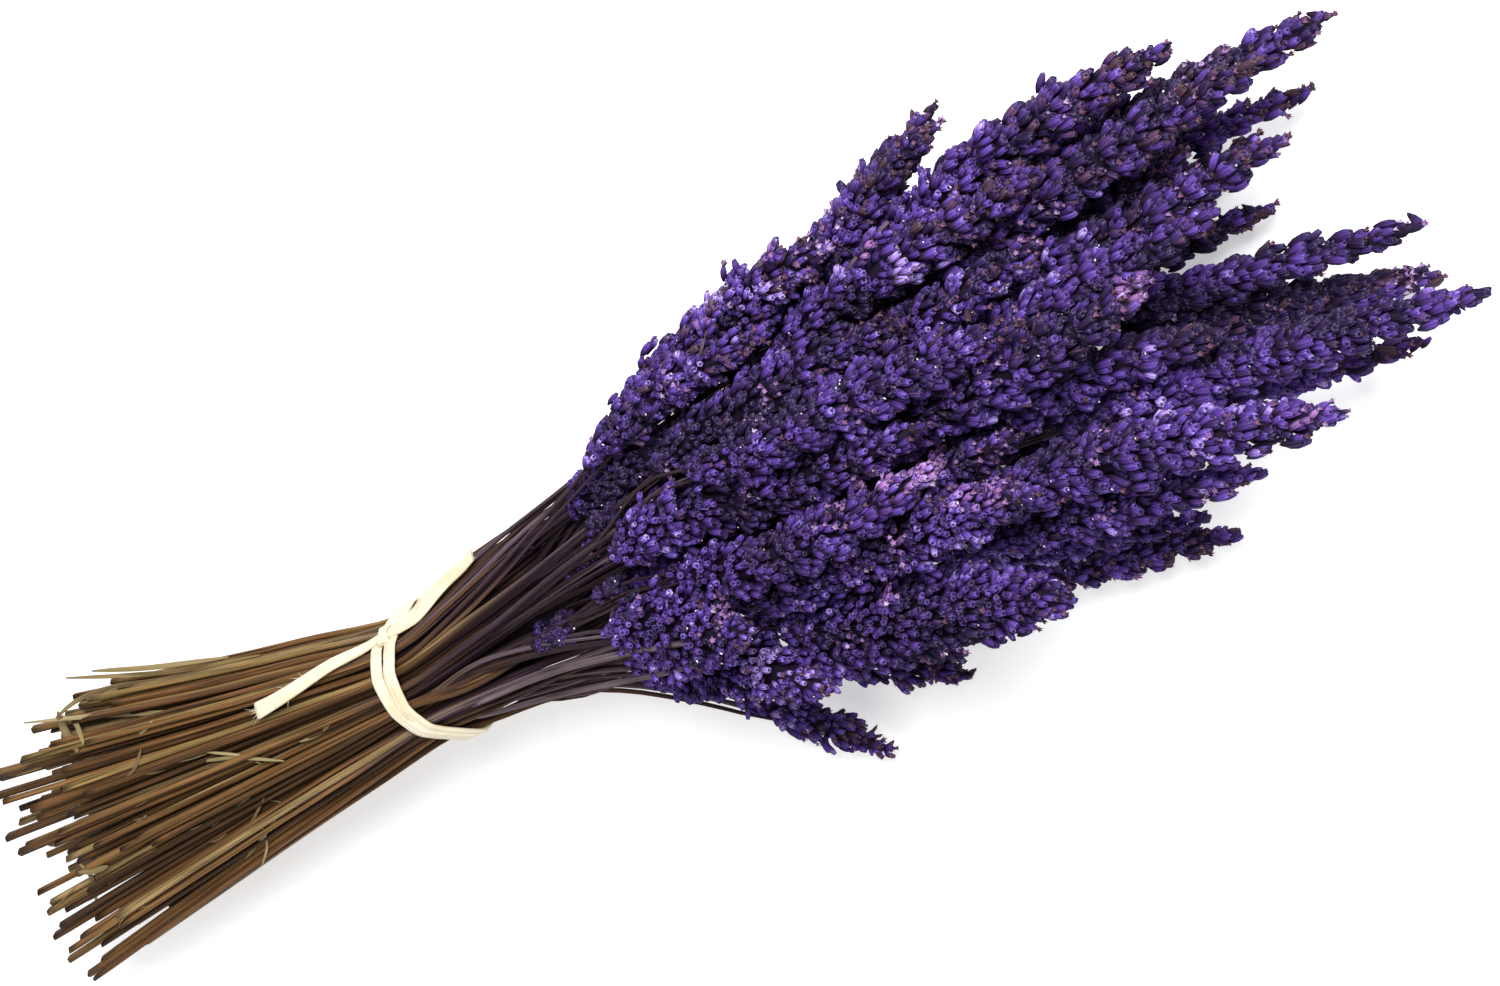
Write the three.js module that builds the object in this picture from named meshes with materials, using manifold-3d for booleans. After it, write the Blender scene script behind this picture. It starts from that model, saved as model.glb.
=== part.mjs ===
// A bunch of dried lavender lying on its side, held together by a flat tie.
// Millimetres. +X runs from the cut ends to the flower tips, +Z is up.
// Each flowering stem is one body: a square stem with its flower spike, whose buds are
// raised from the spike's surface as a diamond lattice of small pointed pyramids.

import * as THREE from 'three';
import Module from 'manifold-3d';

const wasm = await Module();
wasm.setup();

// ---- Driving dimensions. X is measured from the middle of the tie. ----

const CUT_END_X = -134; // most of the cut ends
const CUT_END_RAGGED = 24; // how far the shortest stem stops behind them
const CUT_END_SHORT = 32; // how much shorter the stems at the +Y edge are
const CUT_END_LONG = 3; // how much longer those at the -Y edge are
const CUT_SLANT = 1.1; // the most that a cut end slants, to each side
const RAGGED_CURVE = 1.6; // above 1, more of the stems reach nearly as far as the longest
const FAN_HALF_WIDTH = 35; // outermost cut stems, to each side
const FAN_HALF_HEIGHT = 17;
const FAN_SHIFT = 7; // how far the fan of cut ends lies to +Y of the tie
const FAN_DROP = 12; // how much lower the cut ends lie than the tie
const FAN_CURVE = 1.15; // above 1, the stems leave the tie straight and spread further out
const FAN_JITTER = 0.12; // of a stem's place in the fan, as a share of its half width
const FAN_LIMIT = 0.93; // no stem is planned further out than this share of it
const SURFACE_Z = -32; // the surface that the bunch lies on, below the tie's middle
const SURFACE_CLEARANCE = 0.6; // of all that doesn't carry the bunch

// The outline that the flowers fill, as seen from above.
const FLOWER_SHIFT = 3; // how far its mid-line lies to +Y of the tie
const WAIST_HALF_WIDTH = 16;
const FLOWERS_HALF_WIDTH = 46;
const TIPS_HALF_WIDTH = 28;
const SPREADING_X = [40, 130]; // it widens over this stretch
const CLOSING_X = [165, 245]; // and narrows over this one

const TIE_HALF_WIDTH = 11.4; // of the stems' centres inside the tie
const TIE_HALF_HEIGHT = 10.2;
const LEAVING_SLOPE = 0.75; // of a stem at the tie, as a share of the straight line to its spike
const STEM_RADIUS_CUT = 1.7;
const STEM_RADIUS_TIE = 1.32;
const STEM_RADIUS_SPIKE = 1.05;
const STEM_SIDES = 4; // lavender stems are square
const STEM_STRAY = 0.25; // of its straight stretches from its curved centreline
const STEM_IN_SPIKE = 5; // how deep the stem runs into its spike
const CLEARANCE = 0.52; // between one flowering stem and the next
const TIE_CLEARANCE = 0.7; // between the stems' outline and the tie

// A spike's radius along it, as a share of its greatest.
const SPIKE_BASE_SHARE = 0.5;
const SPIKE_TIP_SHARE = 0.48;
const SPIKE_SWELL = 0.14; // of its length from the base, up to its full radius
const SPIKE_TAPER_FROM = 0.62;
const SPIKE_POINT = 0.6; // length of its last point, as a share of its radius there

const BUD_ROW_STEP = 8; // along the spike
const BUD_LIFT = 0.5; // how far a bud's point leans to the tip, in rows
const BUD_VARIATION = 0.1; // of a bud's height, as a share
const VALLEY_SHARE = 0.66; // radius between the buds, as a share of that at their points
const NARROW_SPIKE = 8.5; // spikes under this width have one bud fewer around
const WIDE_SPIKE = 15.5; // and those over this width have one more
const BUDS_AROUND = 6;
const WHORL_BUDS_AROUND = 5;
const WHORL_LENGTH = 9; // of the small separate whorl that some stems have below the spike
const WHORL_DISTANCE = 13;
const WHORL_WIDTH = 6.5;
const WHORL_BEFORE_X = 95; // every other stout spike that starts before this has it
const WHORL_FROM_WIDTH = 11;
const WHORL_MARGIN = 2; // of the room kept free round a whorl, along its stem

const BAND_WIDTH = 3.2; // of the tie's strip
const BAND_THICKNESS = 0.9;
const BAND_SLANT = 4; // the strip's top lies this far nearer to the cut ends
const BAND_MIDDLE_X = 1.2;
const TURN_SPREAD = 2.4; // each of the two turns from their middle, on the knot's side
const TURN_MERGED = 0.7; // and on the far side, where they lie over each other
const KNOT_ANGLE = THREE.MathUtils.degToRad(36); // from +Y towards +Z
const KNOT_SIZE = [6.6, 5.4, 3.6]; // along, around and out of the bundle
const KNOT_SIDES = 8;
const KNOT_LEVELS = 6;
const TURN_STEPS = 24;
const TAIL_STEPS = 8;
const TAIL_LIFT = [1.1, 1.2]; // of a tail off the stems, at the knot and at its end
const TAIL_FLARE = 0.18; // how much wider its end is, as a share
const WRAP_STEPS = 14; // to each side, of the directions in which a strip is held taut
const WRAP_STEP = 0.1; // in radians
const CUT_TAIL_X = -38; // where the strip's two tails end
const CUT_TAIL_ANGLE = THREE.MathUtils.degToRad(44);
const FLOWER_TAIL_X = 27;
const FLOWER_TAIL_ANGLE = THREE.MathUtils.degToRad(31);

// The flower spikes that show on top and at the edges, from the tips of the bunch to its waist:
// tip x, y, z, then base y, z, then how far the spike reaches back along X, then its width.
const SHOWN_SPIKES = [
  [238, -28, 0, -12, 5, 80, 11],
  [236, 27, -2, 28, -6, 76, 11],
  [229, -13, -12, -1, -10, 62, 9],
  [226, -23, -22, -12, -18, 58, 8],
  [223, 26, 9, 25, 4, 70, 11],
  [220, 18, -20, 22, -16, 62, 8],
  [219, -32, -18, -22, -14, 54, 8],
  [218, 12, -2, 10, 0, 74, 11],
  [212, 35, 10, 28, 4, 72, 12],
  [212, -35, 18, -16, 15, 72, 13],
  [206, 6, 13, 4, 10, 66, 12],
  [204, 2, -24, 8, -18, 50, 8],
  [198, -14, 11, -4, 8, 70, 12],
  [191, -1, 25, 2, 17, 80, 14],
  [190, -39, 8, -26, 4, 64, 10],
  [184, 27, 20, 18, 11, 66, 11],
  [178, 30, 4, 19, 2, 64, 12],
  [177, 16, 19, 13, 11, 74, 12],
  [172, 4, 31, 3, 22, 72, 12],
  [169, -50, -22, -36, -18, 58, 10],
  [168, -44, -14, -30, -12, 52, 8],
  [166, 42, 10, 18, 6, 54, 10],
  [163, 48, 0, 22, 0, 52, 11],
  [160, -23, 32, -12, 20, 70, 14],
  [157, -16, 18, -6, 11, 52, 10],
  [154, -44, 24, -22, 14, 66, 18],
  [150, 14, 27, 9, 18, 62, 12],
  [146, -1, 29, 3, 16, 74, 13],
  [145, -11, 31, -8, 18, 64, 12],
  [140, 31, 18, 9, 9, 60, 14],
  [128, 17, 11, 9, 5, 60, 13],
  [126, 23, 25, 14, 14, 50, 10],
  [122, -24, 8, -12, 3, 56, 12],
  [118, 8, 24, 5, 12, 52, 12],
  [113, -9, 20, -5, 10, 54, 13],
  [107, 27, 4, 13, 1, 38, 11],
  [102, 20, 17, 10, 8, 44, 12],
  [104, -54, -22, -30, -14, 32, 10],
  [100, -17, 32, -7, 19, 36, 16],
  [98, -31, 16, -16, 7, 44, 15],
  [77, -63, -26, -33, -20, 20, 9],
];

// The two spikes that carry the bunch on the surface, one to each side. Heights follow from
// their width, so that their lowest buds reach the surface.
const CARRYING_SPIKES = [
  [178, 37, 29, 50, 12],
  [172, -27, -21, 50, 12],
]; // tip x, y, base y, reach, width
const CARRY_DEPTH = 1.3; // of their lowest buds, cut off flat
const CUT_END_DEPTH = 0.8; // of the cut end that carries the bunch, cut off flat
const CARRY_END_X = -110; // the cut end that carries the bunch lies still from here
const BELOW_SURFACE = [600, 300, 20]; // a block larger than the bunch, which cuts them

// The spikes that fill the inside and the underside of the bunch.
const FILL_COUNT = 14;
const FILL_TIP_X = [104, 214];
const FILL_Z = [-26, 8];
const FILL_REACH = [46, 60];
const FILL_WIDTH = [9, 13];
const FILL_SHARE_OF_WIDTH = 0.5;
const FILL_BASE_SHARE = [0.72, 0.8]; // of the tip's distance off the axis, along Y and Z
const SPREAD_START = [0.31, 0.17, 0.5]; // of the draws that spread them evenly
const SPREAD_STEP = [0.618, 0.7549, 0.5698];

const STATION_STEP = 4; // along X, where the stems are kept apart
const FIRST_STATION = -158;
const LAST_STATION = 250;
const RELAX_ROUNDS = 500;
const SETTLE_ROUNDS = 140;
const SMOOTHING = [0.4, 0.02]; // per round, while relaxing and once settled
const PULL_HOME = [0.02, 0];
const STEM_PULL_SHARE = 0.25; // stems are drawn back less than spikes
const SHOWN_GIVE = 0.45; // how far a shown spike makes way for others, and one of the fill
const FILL_GIVE = 1;
const LEANING_MOST = 1.5; // how much further apart across X leaning strands can be
const HONEYCOMB_REACH = 10; // rows and columns to each side, more than the tie holds
const SWAP_ROUNDS = 60;
const SEED = 29;

const LAVENDER_COLOUR = 0x46308a;
const TIE_COLOUR = 0xf4e4c0;

// ---- Small helpers ----

// A repeatable random number from 0 to 1.
function makeRandom(seed) {
  let state = seed;
  return () => {
    state = (state + 0x6d2b79f5) | 0;
    let t = Math.imul(state ^ (state >>> 15), 1 | state);
    t = (t + Math.imul(t ^ (t >>> 7), 61 | t)) ^ t;
    return ((t ^ (t >>> 14)) >>> 0) / 4294967296;
  };
}

const { clamp, smoothstep } = THREE.MathUtils;
const mix = (a, b, t) => a + (b - a) * t;
const smooth = (t) => smoothstep(t, 0, 1);
const fraction = (v) => v - Math.floor(v);

// Half the width of the flowering part of the bunch at a distance from the tie.
function flowerHalfWidth(x) {
  const spread = mix(WAIST_HALF_WIDTH, FLOWERS_HALF_WIDTH, smoothstep(x, ...SPREADING_X));
  return spread - (FLOWERS_HALF_WIDTH - TIPS_HALF_WIDTH) * smoothstep(x, ...CLOSING_X);
}

// The spike's radius along it, as a share of its greatest: full from near the base to past the
// middle, then a taper to the tip.
function spikeShare(t) {
  const swell = mix(SPIKE_BASE_SHARE, 1, smoothstep(t, 0, SPIKE_SWELL));
  return swell - (1 - SPIKE_TIP_SHARE) * smoothstep(t, SPIKE_TAPER_FROM, 1);
}

// ---- Where every flowering stem runs ----

function shownStrand([tipX, tipY, tipZ, baseY, baseZ, reach, width]) {
  const tip = [tipY + FLOWER_SHIFT, tipZ];
  const base = [baseY + FLOWER_SHIFT, baseZ];
  return { tipX, baseX: tipX - reach, tip, base, width, give: SHOWN_GIVE };
}

function carryingStrand([tipX, tipY, baseY, reach, width]) {
  const z = SURFACE_Z + width / 2 - CARRY_DEPTH;
  const strand = { tipX, baseX: tipX - reach, tip: [tipY, z + 1], base: [baseY, z], width };
  return { ...strand, give: 0, carries: true, turn: -Math.PI / 2 };
}

function fillStrand(index, random) {
  const spread = (k) => fraction(SPREAD_START[k] + index * SPREAD_STEP[k]);
  const tipX = mix(...FILL_TIP_X, spread(0));
  const across = mix(-1, 1, spread(1)) * FILL_SHARE_OF_WIDTH;
  const tip = [across * flowerHalfWidth(tipX) + FLOWER_SHIFT, mix(...FILL_Z, spread(2))];
  const base = tip.map((v, k) => v * FILL_BASE_SHARE[k]);
  const reach = mix(...FILL_REACH, random());
  const width = mix(...FILL_WIDTH, random());
  return { tipX, baseX: tipX - reach, tip, base, width, give: FILL_GIVE };
}

// Places on a honeycomb inside the tie's oval, nearest to its middle first.
function tiePlaces(count) {
  const pitch = 2 * STEM_RADIUS_TIE + CLEARANCE;
  const places = [];
  for (let row = -HONEYCOMB_REACH; row <= HONEYCOMB_REACH; row += 1) {
    for (let column = -HONEYCOMB_REACH; column <= HONEYCOMB_REACH; column += 1) {
      const y = (column + (row & 1) / 2) * pitch;
      const z = row * pitch * Math.sqrt(0.75);
      places.push({ y, z, far: Math.hypot(y / TIE_HALF_WIDTH, z / TIE_HALF_HEIGHT) });
    }
  }
  places.sort((a, b) => a.far - b.far || a.y - b.y || a.z - b.z);
  return places.slice(0, count);
}

// Gives each strand a place in the tie on the side that its spike lies on.
function assignTiePlaces(strands) {
  const places = tiePlaces(strands.length);
  const cost = (strand, place) => {
    const wide = flowerHalfWidth(strand.tipX);
    const dy = strand.tip[0] / wide - place.y / TIE_HALF_WIDTH;
    const dz = strand.tip[1] / -SURFACE_Z - place.z / TIE_HALF_HEIGHT;
    return dy * dy + dz * dz;
  };
  strands.forEach((strand, i) => {
    strand.place = places[i];
  });
  for (let round = 0; round < SWAP_ROUNDS; round += 1) {
    for (const a of strands) {
      for (const b of strands) {
        const kept = cost(a, a.place) + cost(b, b.place);
        const swapped = cost(a, b.place) + cost(b, a.place);
        if (swapped < kept - 1e-9) {
          [a.place, b.place] = [b.place, a.place];
        }
      }
    }
  }
}

// The strand's first course: from its cut end through its place in the tie to its spike.
function firstCourse(strand, x) {
  const { place, base, tip, baseX, tipX } = strand;
  const inTie = [place.y, place.z];
  if (x <= 0) {
    const t = Math.pow(x / CUT_END_X, FAN_CURVE);
    return inTie.map((v, k) => mix(v, strand.cut[k], t));
  }
  if (x >= baseX) {
    const t = (x - baseX) / (tipX - baseX);
    return base.map((v, k) => mix(v, tip[k], t));
  }
  const t = x / baseX;
  return inTie.map((v, k) => {
    const startSlope = (base[k] - v) * LEAVING_SLOPE;
    const endSlope = ((tip[k] - base[k]) / (tipX - baseX)) * baseX;
    const bend = startSlope * t * (1 - t) * (1 - t) - endSlope * t * t * (1 - t);
    return mix(v, base[k], smooth(t)) + bend;
  });
}

function stemRadius(strand, x) {
  if (x <= 0) {
    return mix(STEM_RADIUS_TIE, STEM_RADIUS_CUT, x / CUT_END_X);
  }
  return mix(STEM_RADIUS_TIE, STEM_RADIUS_SPIKE, Math.min(x / strand.baseX, 1));
}

// How far the strand's body reaches from its centreline: stem, whorl or spike.
function bodyRadius(strand, x) {
  const { baseX, tipX, width } = strand;
  if (x >= baseX) {
    return (width / 2) * spikeShare(Math.min((x - baseX) / (tipX - baseX), 1));
  }
  const whorlEnd = baseX - WHORL_DISTANCE;
  const whorlStart = whorlEnd - WHORL_LENGTH;
  const inWhorl = x > whorlStart - WHORL_MARGIN && x < whorlEnd + WHORL_MARGIN;
  return strand.whorl && inWhorl ? WHORL_WIDTH / 2 : stemRadius(strand, x);
}

const STATIONS = [];
for (let x = FIRST_STATION; x <= LAST_STATION; x += STATION_STEP) {
  STATIONS.push(x);
}

// Moves a strand at a station, as far as it gives way there.
function nudge(strand, s, byY, byZ) {
  strand.y[s] += byY * strand.move[s];
  strand.z[s] += byZ * strand.move[s];
}

// Pushes two strands apart where they come too close between a station and the next. The
// nearest place between the two stations counts, so that strands can't pass through each other.
function partPair(a, b, s) {
  const dy = b.y[s] - a.y[s];
  const dz = b.z[s] - a.z[s];
  const need = a.radius[s] + b.radius[s] + CLEARANCE;
  const far = LEANING_MOST * need + STATION_STEP;
  if (Math.abs(dy) > far || Math.abs(dz) > far) {
    return;
  }
  const stepY = b.y[s + 1] - a.y[s + 1] - dy;
  const stepZ = b.z[s + 1] - a.z[s + 1] - dz;
  const step = stepY * stepY + stepZ * stepZ;
  const t = step > 0 ? clamp(-(dy * stepY + dz * stepZ) / step, 0, 1) : 0;
  const nearY = dy + t * stepY;
  const nearZ = dz + t * stepZ;
  const slopeY = (a.slopeY[s] + b.slopeY[s]) / 2;
  const slopeZ = (a.slopeZ[s] + b.slopeZ[s]) / 2;
  const lean = Math.sqrt(1 + slopeY * slopeY + slopeZ * slopeZ);
  const along = (nearY * slopeY + nearZ * slopeZ) / lean;
  const flat = Math.hypot(nearY, nearZ) || 1e-6;
  const apart = Math.sqrt(Math.max(flat * flat - along * along, 1e-9));
  const needHere = mix(need, a.radius[s + 1] + b.radius[s + 1] + CLEARANCE, t);
  const give = a.move[s] + b.move[s];
  if (apart >= needHere || give === 0) {
    return;
  }
  const push = (needHere - apart) / give / flat / ((1 - t) * (1 - t) + t * t);
  for (const [station, part] of [[s, push * (1 - t)], [s + 1, push * t]]) {
    nudge(a, station, -nearY * part, -nearZ * part);
    nudge(b, station, nearY * part, nearZ * part);
  }
}

function updateSlopes(strand) {
  for (let s = 1; s < STATIONS.length - 1; s += 1) {
    strand.slopeY[s] = (strand.y[s + 1] - strand.y[s - 1]) / (2 * STATION_STEP);
    strand.slopeZ[s] = (strand.z[s + 1] - strand.z[s - 1]) / (2 * STATION_STEP);
  }
}

// Straightens a strand a little and draws its spike back to where it should lie.
function easeStrand(strand, smoothing, pull) {
  for (let s = strand.first + 1; s < strand.last; s += 1) {
    const move = strand.move[s];
    if (move > 0) {
      strand.y[s] += smoothing * ((strand.y[s - 1] + strand.y[s + 1]) / 2 - strand.y[s]);
      strand.z[s] += smoothing * ((strand.z[s - 1] + strand.z[s + 1]) / 2 - strand.z[s]);
      const home = pull * (STATIONS[s] > strand.baseX ? 1 : STEM_PULL_SHARE);
      strand.y[s] += home * (strand.homeY[s] - strand.y[s]);
      strand.z[s] += home * (strand.homeZ[s] - strand.z[s]);
    }
  }
}

function keepAboveSurface(strand) {
  for (let s = strand.first; s <= strand.last; s += 1) {
    const lean = Math.hypot(1, strand.slopeZ[s]);
    const lowest = SURFACE_Z + SURFACE_CLEARANCE + strand.radius[s] * lean;
    if (strand.move[s] > 0 && strand.z[s] < lowest) {
      strand.z[s] = lowest;
    }
  }
}

// Lays all the strands and keeps them apart from cut end to tip.
function layStrands(strands) {
  for (const strand of strands) {
    const course = STATIONS.map((x) => firstCourse(strand, x));
    strand.y = course.map((p) => p[0]);
    strand.z = course.map((p) => p[1]);
    strand.homeY = [...strand.y];
    strand.homeZ = [...strand.z];
    strand.slopeY = STATIONS.map(() => 0);
    strand.slopeZ = STATIONS.map(() => 0);
    strand.radius = STATIONS.map((x) => bodyRadius(strand, x));
    strand.first = STATIONS.findIndex((x) => x > strand.cutX) - 1;
    strand.last = STATIONS.findIndex((x) => x > strand.tipX);
    strand.move = STATIONS.map((x) => {
      if (Math.abs(x) < STATION_STEP || (strand.endCarries && x < CARRY_END_X)) {
        return 0;
      }
      return x > strand.baseX - STATION_STEP ? strand.give : 1;
    });
  }
  for (let round = 0; round < RELAX_ROUNDS + SETTLE_ROUNDS; round += 1) {
    const settling = Math.max(0, (round - RELAX_ROUNDS) / SETTLE_ROUNDS);
    strands.forEach(updateSlopes);
    for (const strand of strands) {
      easeStrand(strand, mix(...SMOOTHING, settling), mix(...PULL_HOME, settling));
    }
    for (let s = 0; s < STATIONS.length - 1; s += 1) {
      const here = strands.filter((strand) => s >= strand.first && s <= strand.last);
      for (let i = 0; i < here.length; i += 1) {
        for (let j = i + 1; j < here.length; j += 1) {
          partPair(here[i], here[j], s);
        }
      }
    }
    strands.forEach(keepAboveSurface);
  }
}

// A point on a strand's centreline, and the direction of the strand there.
function pointAt(strand, x) {
  const f = (x - FIRST_STATION) / STATION_STEP;
  const s = clamp(Math.floor(f), 0, STATIONS.length - 2);
  const y = mix(strand.y[s], strand.y[s + 1], f - s);
  const z = mix(strand.z[s], strand.z[s + 1], f - s);
  return new THREE.Vector3(x, y, z);
}

function frameAt(strand, x) {
  const reach = STATION_STEP;
  const low = Math.max(x - reach, strand.cutX);
  const high = Math.min(x + reach, strand.tipX);
  const along = pointAt(strand, high).sub(pointAt(strand, low)).normalize();
  const side = new THREE.Vector3(0, 0, 1).cross(along).normalize();
  const up = along.clone().cross(side);
  return { along, side, up };
}

// A point beside the centreline: around it by an angle and out by a radius.
function beside(strand, x, angle, radius) {
  const { side, up } = frameAt(strand, x);
  return pointAt(strand, x)
    .addScaledVector(side, radius * Math.cos(angle))
    .addScaledVector(up, radius * Math.sin(angle));
}

// ---- Bodies ----

// A closed surface from shared points and triangles that face outwards.
function makeGeometry(points, triangles) {
  const geometry = new THREE.BufferGeometry();
  geometry.setAttribute(
    'position',
    new THREE.Float32BufferAttribute(points.flatMap((p) => [p.x, p.y, p.z]), 3),
  );
  geometry.setIndex(triangles.flat());
  return geometry;
}

function toSolid(geometry) {
  const vertProperties = new Float32Array(geometry.attributes.position.array);
  const triVerts = new Uint32Array(geometry.index.array);
  return new wasm.Manifold(new wasm.Mesh({ numProp: 3, vertProperties, triVerts }));
}

function toGeometry(solid) {
  const mesh = solid.getMesh();
  const geometry = new THREE.BufferGeometry();
  geometry.setAttribute('position', new THREE.BufferAttribute(mesh.vertProperties, 3));
  geometry.setIndex(new THREE.BufferAttribute(mesh.triVerts, 1));
  geometry.computeVertexNormals();
  return geometry;
}

// A tube through rings of points, closed by a flat fan at each end, or joined end to end. The
// rings turn anticlockwise as seen from the end that they run towards.
function closedTube(rings, joined = false) {
  const sides = rings[0].length;
  const triangles = [];
  const last = rings.length - 1;
  for (let r = 0; r < (joined ? last + 1 : last); r += 1) {
    const here = r * sides;
    const there = (r === last ? 0 : r + 1) * sides;
    for (let k = 0; k < sides; k += 1) {
      const next = (k + 1) % sides;
      triangles.push([here + k, here + next, there + next]);
      triangles.push([here + k, there + next, there + k]);
    }
  }
  const end = last * sides;
  for (let k = 1; k < sides - 1 && !joined; k += 1) {
    triangles.push([0, k + 1, k], [end, end + k, end + k + 1]);
  }
  return makeGeometry(rings.flat(), triangles);
}

// The start of each straight stretch of a stem between two places on it.
function bendPlaces(strand, fromX, toX) {
  const line = new THREE.Line3(pointAt(strand, fromX), pointAt(strand, toX));
  const nearest = new THREE.Vector3();
  let worst = STEM_STRAY;
  let bend = null;
  for (let x = fromX + STATION_STEP; x < toX - STATION_STEP; x += STATION_STEP) {
    const point = pointAt(strand, x);
    const stray = line.closestPointToPoint(point, true, nearest).distanceTo(point);
    if (stray > worst) {
      worst = stray;
      bend = x;
    }
  }
  if (bend === null) {
    return [fromX];
  }
  return [...bendPlaces(strand, fromX, bend), ...bendPlaces(strand, bend, toX)];
}

// The stem, cut off slantwise at its lower end and sunk into the spike at its upper end.
function stemGeometry(strand) {
  const endX = strand.baseX + STEM_IN_SPIKE;
  const steps = [...bendPlaces(strand, strand.cutX, endX), endX];
  const rings = steps.map((x, r) => {
    const ring = [];
    for (let k = 0; k < STEM_SIDES; k += 1) {
      const angle = strand.turn + (2 * Math.PI * k) / STEM_SIDES;
      const point = beside(strand, x, angle, stemRadius(strand, x));
      if (r === 0) {
        point.x += strand.slant * Math.cos(angle);
      }
      ring.push(point);
    }
    return ring;
  });
  return closedTube(rings);
}

// Buds in staggered rows round a strand between two places on it. Each is a pyramid on a
// diamond of the lattice, with its point leaning to the tip.
function budGeometry(strand, startX, endX, around, radiusAt, random) {
  const length = pointAt(strand, endX).distanceTo(pointAt(strand, startX));
  const rows = Math.max(2, Math.round(length / BUD_ROW_STEP));
  const xAt = (row) => mix(startX, endX, row / rows);
  const points = [];
  const triangles = [];
  const angleAt = (row, k) => strand.turn + (2 * Math.PI * (k + (row % 2) / 2)) / around;
  for (let row = 0; row <= rows; row += 1) {
    for (let k = 0; k < around; k += 1) {
      const radius = radiusAt(row / rows) * VALLEY_SHARE;
      points.push(beside(strand, xAt(row), angleAt(row, k), radius));
    }
  }
  const corner = (row, k) => row * around + ((k + around) % around);
  const between = (row, k) => (row % 2 === 0 ? k : k + 1);
  for (let row = 1; row < rows; row += 1) {
    for (let k = 0; k < around; k += 1) {
      const left = corner(row, k);
      const right = corner(row, k + 1);
      const low = corner(row - 1, between(row, k));
      const high = corner(row + 1, between(row, k));
      const share = 1 - (strand.carries ? 0 : BUD_VARIATION * random());
      const place = row + BUD_LIFT * share;
      const radius = radiusAt(Math.min(place / rows, 1)) * share;
      const peak = points.length;
      points.push(beside(strand, xAt(place), angleAt(row, k + 0.5), radius));
      triangles.push([left, low, peak], [low, right, peak]);
      triangles.push([right, high, peak], [high, left, peak]);
    }
  }
  for (let k = 0; k < around; k += 1) {
    const next = corner(1, between(0, k));
    triangles.push([corner(0, k), corner(0, k + 1), next]);
    const last = corner(rows - 1, between(rows, k));
    triangles.push([corner(rows, k + 1), corner(rows, k), last]);
  }
  const foot = points.length;
  points.push(pointAt(strand, startX), pointAt(strand, endX).addScaledVector(
    frameAt(strand, endX).along,
    radiusAt(1) * SPIKE_POINT,
  ));
  for (let k = 0; k < around; k += 1) {
    triangles.push([corner(0, k + 1), corner(0, k), foot]);
    triangles.push([corner(rows, k), corner(rows, k + 1), foot + 1]);
  }
  return makeGeometry(points, triangles);
}

function budsAround(width) {
  if (width < NARROW_SPIKE) {
    return BUDS_AROUND - 1;
  }
  return width > WIDE_SPIKE ? BUDS_AROUND + 1 : BUDS_AROUND;
}

function floweringStem(strand, random) {
  const half = strand.width / 2;
  const tipX = strand.tipX - half * SPIKE_TIP_SHARE * SPIKE_POINT;
  const spikeAt = (t) => half * spikeShare(t);
  const around = budsAround(strand.width);
  let solid = toSolid(stemGeometry(strand));
  solid = solid.add(toSolid(budGeometry(strand, strand.baseX, tipX, around, spikeAt, random)));
  if (strand.whorl) {
    const endX = strand.baseX - WHORL_DISTANCE;
    const startX = endX - WHORL_LENGTH;
    const whorlAt = () => WHORL_WIDTH / 2;
    const whorl = budGeometry(strand, startX, endX, WHORL_BUDS_AROUND, whorlAt, random);
    solid = solid.add(toSolid(whorl));
  }
  if (strand.carries || strand.endCarries) {
    solid = solid.subtract(toSolid(belowSurface()));
  }
  return toGeometry(solid);
}

// What lies below the surface, which cuts the carrying points flat.
function belowSurface() {
  const box = new THREE.BoxGeometry(...BELOW_SURFACE);
  box.translate(0, 0, SURFACE_Z - BELOW_SURFACE[2] / 2);
  const corners = [];
  const triangles = [];
  const position = box.attributes.position;
  const cornerOf = (v) => {
    const point = new THREE.Vector3().fromBufferAttribute(position, v);
    const found = corners.findIndex((c) => c.distanceTo(point) < 1e-6);
    return found < 0 ? corners.push(point) - 1 : found;
  };
  for (let v = 0; v < box.index.count; v += 3) {
    triangles.push([0, 1, 2].map((k) => cornerOf(box.index.getX(v + k))));
  }
  return makeGeometry(corners, triangles);
}

// ---- The tie ----

// How far the stems reach from the bundle's middle in a direction round it, at a place
// along it: the distance to the straight line that wraps their outermost sides.
function bundleReach(strands, angle, x) {
  const here = strands.map((strand) => {
    const { y, z } = pointAt(strand, x);
    return { y, z, radius: bodyRadius(strand, x) };
  });
  let reach = Infinity;
  for (let k = -WRAP_STEPS; k <= WRAP_STEPS; k += 1) {
    const tilt = k * WRAP_STEP;
    const cy = Math.cos(angle + tilt);
    const cz = Math.sin(angle + tilt);
    const support = Math.max(...here.map((c) => c.y * cy + c.z * cz + c.radius));
    reach = Math.min(reach, support / Math.cos(tilt));
  }
  return reach;
}

// A flat strip along points that lie round or along the bundle, with its face outwards.
function stripGeometry(path, closed, widthAt) {
  const count = path.length;
  const rings = path.map(({ point, outward }, k) => {
    const before = path[closed ? (k + count - 1) % count : Math.max(k - 1, 0)];
    const after = path[closed ? (k + 1) % count : Math.min(k + 1, count - 1)];
    const along = after.point.clone().sub(before.point).normalize();
    const across = outward.clone().cross(along).normalize();
    const out = along.clone().cross(across);
    const half = widthAt(k / (count - 1)) / 2;
    const thin = BAND_THICKNESS / 2;
    return [[-1, -1], [1, -1], [1, 1], [-1, 1]].map(([a, o]) =>
      point.clone().addScaledVector(across, a * half).addScaledVector(out, o * thin));
  });
  return closedTube(rings, closed);
}

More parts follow.
